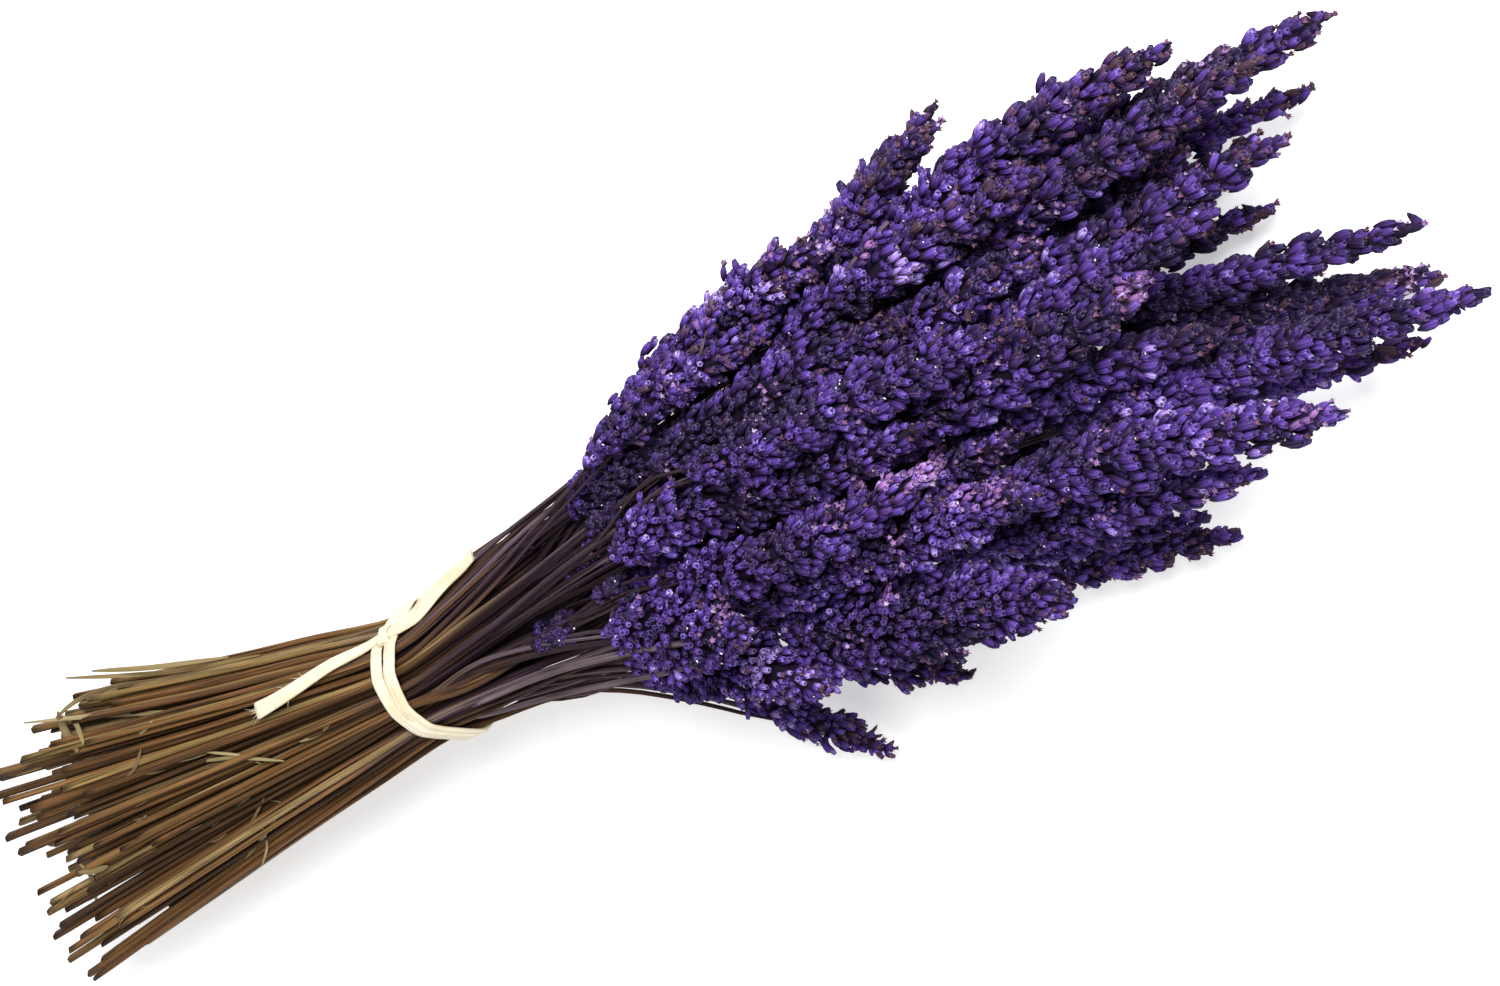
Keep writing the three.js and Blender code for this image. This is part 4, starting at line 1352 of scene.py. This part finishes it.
@dataclass
class Flowers:
    """Staggered rows of calyxes between two places on a stem, with petals, crumbs and bracts."""

    stem: FloweringStem
    start: float
    end: float
    spike: bool
    calyx_length: float = 4.05 * MM
    calyx_gap: float = 1.41 * MM
    row_gap: float = 1.67 * MM
    whorl_gap: float = 7.0 * MM
    lean: float = math.radians(35)
    fan: float = math.radians(19)
    stray_share: float = 0.09
    petal_share: float = 0.012
    late_share: float = 0.45
    bract_share: float = 0.12
    crumb_glint_share: float = 0.035
    inner_share: float = 0.16
    inner_depth: float = 0.26
    inner_shade: float = 0.25
    # Painted shade in crevices: how far out to look, how soon it fades, and how much darker it makes the
    # calyxes.
    shelter: float = 7.0 * MM
    crowding: float = 5.0 * MM
    crevice_shade_tone: float = 0.5
    middle_tone: float = 0.445
    tone_scatter: float = 0.18
    whorl_paler: float = -0.45

    def add(self) -> None:
        """Adds everything to the stem's sheaf."""
        self._lay_rows()
        self._aim()
        self._place()
        self._add_calyxes()
        self._add_petals()
        self._add_crumbs_and_glints()
        self._add_bracts()

    @staticmethod
    def _larger(x: np.ndarray | float) -> np.ndarray:
        """How much larger the calyxes are, which grow looser towards the far end of the bunch."""
        return 0.97 + 0.19 * np.clip((x - 50 * MM) / (90 * MM), 0, 1)

    def _lay_rows(self) -> None:
        """Draws each calyx's place along X and its angle round the stem, row by row."""
        rng, places, angles = self.stem.rng, [], []
        x, turn = self.start + 1.2 * MM, 0.0
        while x < self.end - 0.3 * MM:
            larger = float(self._larger(x))
            radius = float(self.stem.course.reach(x))
            around = max(4, round(TURN * radius * 0.86 / (self.calyx_gap * larger)))
            for k in range(around):
                angles.append((k + turn + rng.uniform(-0.22, 0.22)) * TURN / around)
                places.append(x + rng.uniform(-0.9, 0.9) * MM)
            x += self.row_gap * larger * rng.uniform(0.85, 1.15)
            turn = 0.5 - turn
        self.x, self.angle = np.clip(np.array(places), self.start, self.end), np.array(angles)
        self.share = (self.x - self.start) / (self.end - self.start)
        self.count = len(self.x)

    def _aim(self) -> None:
        """Draws which way each calyx points and how long it is."""
        rng, count, share = self.stem.rng, self.count, self.share
        along, side, up = self.stem.course.frames(self.x)
        self.outward = swung(side, up, self.angle)
        self.around = swung(up, -side, self.angle)
        self.closing = np.clip((share - 0.72) / 0.28, 0, 1) if self.spike else np.zeros(count)
        spread = np.clip((0.16 - share) / 0.16, 0, 1) if self.spike else np.full(count, 0.5)
        self.whorl = (self.x - self.start) / self.whorl_gap
        self.wave = np.cos(self.whorl * TURN + 0.9 * np.sin(self.angle + self.stem.tone * 6))
        self.stray = (rng.random(count) < self.stray_share) * rng.uniform(0.08, 0.36, count)
        larger = self._larger(self.x)
        lean = self.lean * (1 - 0.45 * self.closing + 0.5 * spread) - self.fan * np.sin(self.whorl * TURN)
        lean -= 0.4 * (larger - 1)
        lean += rng.normal(0, 0.17, count) + self.stray
        heading = swung(along, self.outward, lean)
        self.heading = unit(heading + self.around * rng.normal(0, 0.13, count)[:, None])
        self.length = self.calyx_length * rng.uniform(0.78, 1.14, count) * (1 - 0.18 * self.closing)
        self.length = self.length * larger**1.3

    def _place(self) -> None:
        """Draws how far out each calyx's mouth lies, deeper where the photograph shows dark heads, and the
        strokes' tone shifts, which are partly painted light and shade.
        """
        course, rng, share = self.stem.course, self.stem.rng, self.share
        middle, reach = course.at(self.x), course.reach(self.x)
        seen = self.stem.shop.studio.seen(middle + self.outward * reach[:, None])
        self.paler = np.full(self.count, self.stem.paler if self.spike else self.whorl_paler)
        self.pinker = np.zeros(self.count)
        # The strokes darken and lighten the heads: partly their own colour, partly painted shade and painted
        # light.
        for stroke in STROKES:
            weight = stroke.weight(seen)
            self.paler += stroke.paler * weight
            self.pinker += stroke.pinker * weight
        pair = np.cos(2 * self.angle + math.pi * np.round(self.whorl) + self.stem.tone * 9)
        lumps = (0.13 + 0.08 * share) * self.wave + 0.07 * pair
        out = 0.89 + lumps + rng.uniform(-0.13, 0.11, self.count) + self.stray
        self.reach = reach * (out + 0.16 * np.minimum(self.paler, 0))
        self.mouth = middle + self.outward * self.reach[:, None]
        self.wide = unit(np.cross(self.heading, self.outward) + self.around * 1e-6)
        self.deep = np.cross(self.heading, self.wide)

    def _crevice_depth(self) -> np.ndarray:
        """Finds how deep the calyxes' mouths lie among the other spikes, looking out towards the camera, for
        painted shade in the crevices.

        Returns:
            Shares from 0 to 1.
        """
        studio, total = self.stem.shop.studio, np.zeros(self.count)
        for way in (studio.up, studio.right):
            for turn in (-1, 0, 1):
                out = np.array((studio.back + 0.9 * turn * way).normalized())
                beyond = self.mouth + out * self.shelter
                x, gap = beyond[:, 0], np.full(self.count, 1.0)
                for other in self.stem.others:
                    away = np.linalg.norm(beyond - other.at(x), axis=1) - other.reach(x)
                    inside = (x > other.base) & (x < other.high)
                    gap = np.where(inside, np.minimum(gap, away), gap)
                total += np.clip(0.6 - gap / self.crowding, 0, 1)
        return total / 6

    def _add_some(
        self, chosen: np.ndarray, blank: Blank, finish: Finish, places: np.ndarray, axes: np.ndarray,
        tints: np.ndarray,
    ) -> None:
        """Adds a blank at some of the calyxes.

        Args:
            chosen: Whether each calyx gets one.
            blank: The blank.
            finish: Its finish.
            places: Its place at each calyx.
            axes: Its axes at each calyx.
            tints: Its tint at each calyx.
        """
        self.stem.sheaf.add_copies(blank, places[chosen], axes[chosen], finish, tints[chosen])

    def _add_calyxes(self) -> None:
        """Adds the calyxes, and ones deeper in that show between them, darkened as painted shade."""
        rng, shop, course, count = self.stem.rng, self.stem.shop, self.stem.course, self.count
        girth = self.length * rng.uniform(0.9, 1.12, count)
        sizes = np.stack([girth, girth, self.length], 1)
        axes = np.stack([self.wide, self.deep, self.heading], 1) * sizes[:, :, None]
        self.foot = self.mouth - self.heading * self.length[:, None]
        self.bloom = rng.random() ** 2
        tip = course.at(np.array([course.high]))[0]
        # Spikes at the upper edge are dulled as faded heads; spikes lying low, under the others, are darkened
        # as painted shade.
        aside = np.clip((tip[1] - 12 * MM) / (20 * MM), 0, 1)
        fade_and_shade = 0.2 + 0.8 * max(aside, float(tip[2] < 16 * MM))
        self.faded_and_shaded = fade_and_shade * self.share
        clouds = cloud(self.mouth, (150.0, 210.0, 90.0), (-90.0, 160.0, 220.0))
        # Painted shade: calyxes deep among the other spikes and in the dips between whorls get a darker tone.
        middling = self.middle_tone - self.crevice_shade_tone * self._crevice_depth() + 0.2 * (self.stem.tone - 0.5)
        middling = middling + 0.22 * clouds + 0.16 * self.wave - 0.14 * self.faded_and_shaded
        tones = np.clip(rng.normal(middling, self.tone_scatter) + self.paler, 0, 1)
        withered = np.clip(rng.random(count) * 0.8 + 0.5 * self.faded_and_shaded * rng.random(count), 0, 1)
        pink = np.clip(0.25 * withered + self.pinker * rng.uniform(0.2, 0.7, count), 0, 0.7)
        tints = np.stack([tones, np.where(withered > 0.8, withered, pink)], 1)
        self.stem.sheaf.add_copies(shop.calyx, self.foot, axes, Finish.CALYX, tints)
        inner = rng.random(count) < self.inner_share
        inner_foot = self.foot - self.outward * (self.inner_depth * self.reach)[:, None]
        # Painted shade: the inner calyxes get a darker tone because they lie deeper.
        inner_tints = np.maximum(tints - np.array([self.inner_shade, 0.0]), 0.0)
        self._add_some(inner, shop.calyx, Finish.CALYX, inner_foot, axes, inner_tints)

    def _add_petals(self) -> None:
        """Adds dried petals to the mouths of some calyxes, more where a patch bloomed late."""
        rng, count = self.stem.rng, self.count
        patch = cloud(self.mouth, (190.0, 60.0, 80.0), (-50.0, 260.0, 90.0), 1)
        late = (patch > 0.7) & self.spike | (self.pinker > 0.35)
        wilted = (0.1 + 0.5 * self.bloom) * self.closing**2 + 0.3 * self.faded_and_shaded * self.share
        chosen = rng.random(count) < self.petal_share + wilted + self.late_share * late
        size = rng.uniform(1.0, 2.3, (count, 1, 1)) * MM
        axes = np.stack([self.wide, self.deep, self.heading], 1) * size
        tones = rng.random(count) * 0.4 + 0.45 * late
        tints = np.stack([tones, rng.random(count)], 1)
        places = self.mouth - self.heading * 0.5 * MM
        self._add_some(chosen, self.stem.shop.petals, Finish.PETAL, places, axes, tints)

    def _add_crumbs_and_glints(self) -> None:
        """Adds bright crumbs at the mouths of some calyxes: partly crumbs of dried petals, partly painted
        glints.
        """
        rng, count = self.stem.rng, self.count
        chosen = rng.random(count) < self.crumb_glint_share
        size = rng.uniform(0.3, 0.75, (count, 1, 1)) * MM
        axes = np.stack([self.wide, -self.heading, self.deep], 1) * size
        self._add_some(chosen, self.stem.shop.crumb, Finish.PETAL, self.mouth, axes, np.ones((count, 2)))

    def _add_bracts(self) -> None:
        """Adds pointed bracts under some calyxes."""
        rng, count, around = self.stem.rng, self.count, self.around
        chosen = rng.random(count) < self.bract_share
        size = rng.uniform(3.0, 4.6, (count, 1, 1)) * MM
        flatter = unit(self.heading + self.outward * 0.25)
        axes = np.stack([around, np.cross(flatter, around), flatter], 1) * size
        tints = np.stack([rng.uniform(0.0, 0.3, count), rng.uniform(0.8, 1.0, count)], 1)
        places = self.foot - self.outward * 0.2 * MM
        self._add_some(chosen, self.stem.shop.bract, Finish.CALYX, places, axes, tints)


# ---- The tie ----


@dataclass
class Tie:
    """The flat cream strip: two turns round the stems, a knot and two tails."""

    shop: Workshop
    rng: np.random.Generator
    width: float = 3.1 * MM
    thickness: float = 0.8 * MM
    clearance: float = 0.3 * MM
    stem_share: float = 0.9
    bundle_radius: float = 11.4 * MM
    slant: float = 4.0 * MM
    middle: float = 1.8 * MM
    spread: float = 2.1 * MM
    merged: float = 0.85 * MM
    knot_angle: float = math.radians(34)
    cut_tail: tuple[float, float] = (-38 * MM, math.radians(44))
    flower_tail: tuple[float, float] = (27 * MM, math.radians(17))
    knot_size: tuple[float, float] = (2.1 * MM, 1.25 * MM)
    centre_z: float = 32 * MM
    fibres: int = 42
    cache: dict[float, tuple[np.ndarray, np.ndarray]] = field(default_factory=dict)

    def __post_init__(self) -> None:
        """Finds the bundle's middle at the tie."""
        self.x = self.shop.tie_x
        here = np.array([course.at(np.array([self.x]))[0] for course in self.shop.courses])
        self.centre = np.array([(here[:, 1].min() + here[:, 1].max()) / 2, self.centre_z])

    def _outline(self, x: float) -> tuple[np.ndarray, np.ndarray]:
        """Finds the stems at a place along X.

        Args:
            x: The place.

        Returns:
            Their middles, from the bundle's middle, and their radii.
        """
        key = round(x, 5)
        if key not in self.cache:
            at, courses = np.array([key]), self.shop.courses
            middles = np.array([course.at(at)[0][1:] for course in courses]) - self.centre
            radii = np.array([course.stem_radius(at)[0] for course in courses]) * self.stem_share
            self.cache[key] = middles, radii
        return self.cache[key]

    def _reach(self, angle: float, x: float) -> float:
        """Finds how far a taut strip lies from the bundle's middle.

        Args:
            angle: The angle round the bundle.
            x: The place along X.

        Returns:
            The distance.
        """
        middles, radii = self._outline(x)
        tilts = np.arange(-14, 15) * 0.1
        ways = np.stack([np.cos(angle + tilts), np.sin(angle + tilts)])
        support = (middles @ ways + radii[:, None]).max(0)
        return float((support / np.cos(tilts)).min())

    def _wrapped(self, angle: float, x: float) -> np.ndarray:
        """Finds the y and z of the taut outline under the whole width of a strip.

        Args:
            angle: The angle round the bundle.
            x: The place along X.

        Returns:
            The y and z.
        """
        half = self.width / 2
        reach = max(self._reach(angle, x + shift) for shift in (-half, 0.0, half))
        return self.centre + reach * np.array([math.cos(angle), math.sin(angle)])

    def _on_bundle(self, angle: float, x: float, lift: float) -> tuple[np.ndarray, np.ndarray]:
        """Finds a place for the middle of the strip on the stems.

        Args:
            angle: The angle round the bundle.
            x: The place along X.
            lift: How far the strip lies off the stems.

        Returns:
            The place and the way that the strip faces there.
        """
        tilt = self.width / 2 / self.bundle_radius
        round_ = unit(self._wrapped(angle + tilt, x) - self._wrapped(angle - tilt, x))
        outward = np.array([0.0, round_[1], -round_[0]])
        point = np.array([x, *self._wrapped(angle, x)])
        return point + outward * (self.clearance + self.thickness / 2 + lift), outward

    def _band_x(self, angle: float) -> float:
        """Where along X the turns lie at an angle round the bundle."""
        return self.x + self.middle - self.slant * math.sin(angle)

    def _turn(self, side: int, steps: int = 96) -> Path:
        """Leads one turn from the knot round the bundle and back.

        Args:
            side: -1 for the turn nearer the cut ends, 1 for the other.
            steps: How many steps it takes.

        Returns:
            Its path.
        """
        places = []
        for k in range(steps + 1):
            angle = self.knot_angle + TURN * k / steps
            near = ((1 + math.cos(angle - self.knot_angle)) / 2) ** 3
            spread = self.merged + (self.spread - self.merged) * near
            under = 0.25 * MM * (side < 0) * (1 - near)
            places.append(self._on_bundle(angle, self._band_x(angle) + side * spread, under))
        return Path(*map(np.array, zip(*places)))

    def _tails(self, steps: int = 40) -> Path:
        """Leads both loose ends, one strip that passes over the turns in the knot.

        Args:
            steps: How many steps each end takes.

        Returns:
            Their path.
        """
        start = self._band_x(self.knot_angle)
        places = []
        for k in range(-steps, steps + 1):
            reach, end_angle = self.cut_tail if k < 0 else self.flower_tail
            t = abs(k) / steps
            lift = 0.9 * math.exp(-((t * 9) ** 2)) + 0.8 * t * t + 0.35 * math.sin(t * 8 + k / 9) * t
            angle = self.knot_angle + (end_angle - self.knot_angle) * eased(t)
            x = start + (self.x + reach - start) * t
            place, outward = self._on_bundle(angle, x, lift * MM)
            places.append((place, unit(outward + (k > 0) * 0.7 * t * np.array([0.0, 0.0, 1.0]))))
        return Path(*map(np.array, zip(*places)))

    def _knot(self, steps: int = 48) -> Path:
        """Leads the loop that holds the strip where it crosses itself.

        Args:
            steps: How many steps it takes.

        Returns:
            Its path.
        """
        wide, high = self.knot_size
        place, outward = self._on_bundle(self.knot_angle, self._band_x(self.knot_angle), high * 0.55)
        around = unit(np.cross(np.array([1.0, 0.12, 0.0]), outward))
        angle = np.linspace(0.0, TURN, steps + 1)
        shift = np.multiply.outer(0.5 * MM * np.sin(angle), np.array([1.0, 0.0, 0.0]))
        points = place + swung(around * wide, outward * high, angle) + shift
        return Path(points, unit(swung(around / wide, outward / high, angle)))

    def _fray(self, sheaf: Sheaf, path: Path) -> None:
        """Adds loose fibres at both ends of a strip and along its edges.

        Args:
            sheaf: What they are added to.
            path: The strip's path.
        """
        rng, blank = self.rng, self.shop.fibre
        for k in range(self.fibres):
            share = (0.0, 1.0, rng.uniform(0.05, 0.95))[k % 3]
            at = np.array([share])
            place = path.read(path.points, at)[0]
            tangent, across, out = (way[0] for way in path.ways(at))
            side = rng.uniform(-0.5, 0.5) if k % 3 < 2 else math.copysign(0.5, rng.uniform(-1, 1))
            way = tangent * (1 if share == 1.0 else -1) + across * side * rng.uniform(0.4, 3)
            way = unit(way + out * rng.uniform(-0.3, 0.5))
            t = np.linspace(0, 1, 6)[:, None]
            curl = across * rng.uniform(-1, 1) + out * rng.uniform(-0.5, 1)
            length = rng.uniform(0.8, 3.0) * MM
            points = place + across * side * self.width * 0.97 + way * t * length
            points = points + curl * t * t * 0.3 * length - way * 0.4 * MM
            fibre = Path(points, np.tile(out, (6, 1)))
            bent = fibre.bend(blank, lambda s: 0.09 * MM * (1.1 - s))
            sheaf.add(blank, bent, Finish.COTTON, (0.2 * MM, 0.2 * MM, length), rng.random())

    def _pinched(self, share: np.ndarray) -> np.ndarray:
        """Makes the loose ends narrow in the knot and wide beside it and at the cut.

        Args:
            share: How far along them.

        Returns:
            Their width there.
        """
        knot, beside = np.exp(-(((share - 0.58) * 14) ** 2)), np.exp(-(((share - 0.76) * 8) ** 2))
        cut = (1 - 2 * np.minimum(share, 0.5)) ** 6
        return self.width * (1.0 - 0.25 * knot + 0.75 * beside + 0.25 * cut)

    def _looped(self, share: np.ndarray) -> np.ndarray:
        """The width of the knot's loop, which is narrower where it is pulled tight."""
        return self.width * (0.85 + 0.15 * np.cos(share * 4 * math.pi))

    def build(self) -> bpy.types.Object:
        """Builds the tie.

        Returns:
            The piece.
        """
        sheaf, blank, tails = Sheaf(), self.shop.strip, self._tails()
        for path, width in (
            (self._turn(-1), lambda t: np.full_like(t, self.width)),
            (self._turn(1), lambda t: np.full_like(t, self.width)),
            (tails, self._pinched),
            (self._knot(), self._looped),
        ):
            points = path.bend(blank, width, lambda t: np.full_like(t, self.thickness))
            size = (self.width, self.thickness, path.length)
            # The edge mark gets painted shade.
            edge_shade = np.abs(blank.points[:, 0]) > 0.45
            sheaf.add(blank, points, Finish.COTTON, size, self.rng.random(), edge_shade)
        self._fray(sheaf, tails)
        return sheaf.make("cotton_tie", self.shop.palette)


# ---- Dry scraps ----


@dataclass(frozen=True)
class Scrap:
    """A dry scrap that the photograph shows, by the pixels that it passes."""

    pixels: tuple[Pixel, ...]
    width: float
    tone: float
    finish: Finish = Finish.CHAFF


LONG_STRAW = Scrap(((24, 723), (90, 716), (150, 713), (205, 711)), 1.1 * MM, 0.8)
TOP_STRAWS = (
    Scrap(((66, 678), (120, 676), (185, 671), (260, 655)), 1.1 * MM, 0.45),
    Scrap(((92, 671), (150, 668), (230, 657)), 1.2 * MM, 0.55),
    Scrap(((55, 719), (75, 700), (110, 687), (160, 680)), 1.3 * MM, 0.35),
)
LEAF_SHREDS = (
    Scrap(((58, 712), (64, 730), (78, 752)), 1.9 * MM, 0.35),
    Scrap(((62, 716), (76, 722), (84, 745)), 1.2 * MM, 0.6),
    Scrap(((80, 864), (92, 876), (96, 900)), 1.6 * MM, 0.55),
    Scrap(((78, 872), (92, 872), (108, 866)), 1.3 * MM, 0.4),
    Scrap(((118, 688), (104, 697), (86, 702)), 1.6 * MM, 0.5),
)
CROSSING_TWIGS = (
    Scrap(((196, 762), (235, 757), (284, 761)), 0.9 * MM, 0.7),
    Scrap(((205, 752), (240, 755), (262, 764)), 0.7 * MM, 0.8),
    Scrap(((246, 858), (262, 838), (280, 812)), 0.8 * MM, 0.6),
    Scrap(((262, 866), (268, 846), (262, 826)), 0.6 * MM, 0.7),
    Scrap(((300, 742), (318, 735), (330, 724)), 0.9 * MM, 0.6),
)
LOOSE_HAIRS = (
    Scrap(((48, 914), (62, 901), (76, 886)), 0.3 * MM, 0.3),
    Scrap(((15, 776), (50, 765), (70, 762)), 0.4 * MM, 0.1),
    Scrap(((150, 905), (128, 912), (118, 926)), 0.3 * MM, 0.5),
)
PALE_STEMS = (
    Scrap(((470, 706), (548, 672), (628, 652), (706, 641)), 1.5 * MM, 0.95, Finish.STEM),
    Scrap(((476, 718), (560, 694), (640, 678), (694, 668)), 1.2 * MM, 0.93, Finish.STEM),
)
SCRAPS = (LONG_STRAW, *TOP_STRAWS, *LEAF_SHREDS, *CROSSING_TWIGS, *LOOSE_HAIRS, *PALE_STEMS)

LOOSE_SPRIGS = (
    ((700, 356), (706, 330), (712, 300)),
    ((846, 270), (868, 244), (888, 222)),
    ((756, 268), (770, 256), (782, 246)),
)


@dataclass
class Chaff:
    """Straws, leaf shreds, twigs and hairs that lie on the bunch, and loose sprigs of calyxes."""

    shop: Workshop
    rng: np.random.Generator
    highest: float = 78 * MM
    lowest: float = 1 * MM
    usual: float = 36 * MM
    strewn: int = 22
    dip: float = 6 * MM
    shred_thickness: float = 0.35 * MM
    sprig_calyxes: int = 16
    sprig_rise: float = 1.2 * MM

    def _lay(self, pixel: Pixel, height: float, above: float) -> np.ndarray:
        """Finds where a line of sight first meets the bunch.

        Args:
            pixel: The photograph's pixel.
            height: The height to use where it misses the bunch.
            above: How far over the stems the place lies.

        Returns:
            The place.
        """
        heights = np.append(np.arange(self.highest, self.lowest, -0.5 * MM), height)
        places = self.shop.studio.at_heights(pixel, heights)
        x, gap = places[:, 0], np.full(len(places), 1.0)
        for course in self.shop.courses:
            away = np.linalg.norm(places - course.at(x), axis=1)
            reach = np.where(x > course.base, course.reach(x) * 1.12, course.stem_radius(x) * 0.9)
            inside = (x > course.low) & (x < course.high)
            gap = np.where(inside, np.minimum(gap, away - reach), gap)
        met = np.nonzero(gap[:-1] < above)[0]
        return places[met[0] if len(met) else -1]

    def _run(self, pixels: tuple[Pixel, ...], above: float, rise: float | None = None) -> Path:
        """Leads a smooth path over the bunch that passes some pixels.

        Args:
            pixels: The photograph's pixels.
            above: How far over the stems it lies.
            rise: How much it climbs to its far end. Without one it follows the bunch.

        Returns:
            The path.
        """
        laid = [self._lay(pixels[0], self.usual, above)]
        for k, pixel in enumerate(pixels[1:], 1):
            if rise is None:
                laid.append(self._lay(pixel, laid[-1][2], above))
            else:
                height = laid[0][2] + rise * k / (len(pixels) - 1)
                laid.append(self.shop.studio.at_heights(pixel, height))
        share, fine = np.linspace(0, 1, len(laid)), np.linspace(0, 1, 24)
        points = np.stack([np.interp(fine, share, column) for column in np.array(laid).T], 1)
        return Path(smoothed(points, 7), np.tile(np.array(self.shop.studio.back), (24, 1)))

    def _add_stem(self, sheaf: Sheaf, scrap: Scrap) -> None:
        """Adds a round stem, whose ends dip into the bunch.

        Args:
            sheaf: What it is added to.
            scrap: The stem.
        """
        low, high = (self._lay(scrap.pixels[k], self.usual, 0.5 * scrap.width)[2] for k in (0, -1))
        path = self._run(scrap.pixels, scrap.width * 0.35, high - low)
        dip = np.clip((path.share - 0.72) / 0.28, 0, 1) ** 2 * self.dip
        dip += np.clip((0.12 - path.share) / 0.12, 0, 1) ** 2 * self.dip / 2
        path = Path(path.points - dip[:, None] * np.array(self.shop.studio.back), path.outward)
        wide = scrap.width * 0.5
        points = path.bend(self.shop.stem, lambda t: wide * (1 - 0.25 * np.abs(2 * t - 1) ** 3))
        sheaf.add(self.shop.stem, points, scrap.finish, (wide, wide, path.length), scrap.tone)

    def _add_shred(self, sheaf: Sheaf, scrap: Scrap) -> None:
        """Adds a flat scrap that follows the bunch.

        Args:
            sheaf: What it is added to.
            scrap: The scrap.
        """
        wide = scrap.width
        path = self._run(scrap.pixels, wide * 0.35)
        thick = min(self.shred_thickness, wide * 0.6)
        points = path.bend(
            self.shop.scrap,
            lambda t: wide * (1 - 0.7 * np.abs(2 * t - 1) ** 3),
            lambda t: np.full_like(t, thick),
        )
        sheaf.add(self.shop.scrap, points, scrap.finish, (wide, wide, path.length), scrap.tone)

    def _add_sprig(self, sheaf: Sheaf, pixels: tuple[Pixel, ...]) -> None:
        """Adds a short loose stalk with calyxes.

        Args:
            sheaf: What it is added to.
            pixels: The photograph's pixels that the stalk passes.
        """
        rng, count = self.rng, self.sprig_calyxes
        path = self._run(pixels, 0.5 * MM, self.sprig_rise)
        stalk = path.bend(self.shop.fibre, lambda t: np.full_like(t, 0.35 * MM))
        sheaf.add(self.shop.fibre, stalk, Finish.STEM, (0.5 * MM, 0.5 * MM, path.length), 0.9)
        share, angle = rng.uniform(0.25, 0.7, count), rng.uniform(0, TURN, count)
        along, side, out = path.ways(share)
        away = swung(side, out, angle)
        heading = swung(along, away, rng.uniform(0.3, 0.8, count))
        wide = unit(np.cross(heading, away) + side * 1e-6)
        length = rng.uniform(2.8, 4.0, (count, 1, 1)) * MM
        axes = np.stack([wide, np.cross(heading, wide), heading], 1) * length
        tints = np.stack([rng.uniform(0.2, 0.8, count), rng.random(count) * 0.9], 1)
        sheaf.add_copies(self.shop.calyx, path.read(path.points, share), axes, Finish.CALYX, tints)

    def _strew(self, sheaf: Sheaf) -> None:
        """Adds small straws that are strewn over the stems.

        Args:
            sheaf: What they are added to.
        """
        rng = self.rng
        for _ in range(self.strewn):
            start = np.array([rng.uniform(60, 330), rng.uniform(700, 900)])
            turn = rng.normal(-0.45, 0.35)
            end = start + rng.uniform(18, 60) * np.array([math.cos(turn), math.sin(turn)])
            middle = (start + end) / 2 + rng.uniform(-4, 4, 2)
            width = rng.uniform(0.2, 0.8) * MM
            pixels = (tuple(start), tuple(middle), tuple(end))
            if all(self._lay(pixel, 0.0, 0.0)[2] > self.lowest for pixel in pixels):
                self._add_shred(sheaf, Scrap(pixels, width, rng.random()))

    def build(self) -> bpy.types.Object:
        """Builds the scraps.

        Returns:
            The piece.
        """
        sheaf = Sheaf()
        for scrap in SCRAPS:
            add = self._add_stem if scrap.finish is Finish.STEM else self._add_shred
            add(sheaf, scrap)
        for pixels in LOOSE_SPRIGS:
            self._add_sprig(sheaf, pixels)
        self._strew(sheaf)
        return sheaf.make("dry_scraps", self.shop.palette)


# ---- Everything ----


def main() -> None:
    """Builds the stage and every piece."""
    logging.basicConfig(level=logging.INFO, format="%(message)s")
    tie_low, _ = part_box("tie")
    tie_x = tie_low.x + 38.2 * MM
    studio = Studio(target=Vector((tie_x + 89 * MM, 6.87 * MM, 32 * MM)))
    studio.build()
    names = sorted(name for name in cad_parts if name.startswith("flowering_stem_"))
    courses = [Course(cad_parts[name]) for name in names]
    shop = Workshop(studio, tie_x, courses, make_palette(turn_x=tie_x + 9 * MM))
    for k, (name, course) in enumerate(zip(names, courses)):
        others = [other for other in courses if other is not course]
        title, rng = name.replace("flowering_stem", "lavender"), np.random.default_rng(SEED + k)
        dress(FloweringStem(title, shop, course, others, rng).build(), Finish.STEM.slot, name)
    for k, tucked in enumerate(TUCKED_SPIKES, 1):
        ends = studio.at_heights(*tucked.start), studio.at_heights(*tucked.end)
        course, rng = TuckedCourse(*ends, tucked.radius), np.random.default_rng(SEED + 300 + k)
        # Painted shade: the tucked spikes get a darker tone, as they lie under the others.
        spike = FloweringStem(f"tucked_spike_{k}", shop, course, courses, rng, paler=-0.2, companions=0)
        dress(spike.build(), Finish.STEM.slot)
    dress(Tie(shop, np.random.default_rng(SEED + 100)).build(), Finish.COTTON.slot, "tie")
    dress(Chaff(shop, np.random.default_rng(SEED + 200)).build(), Finish.CHAFF.slot)


if __name__ == "__main__":
    main()
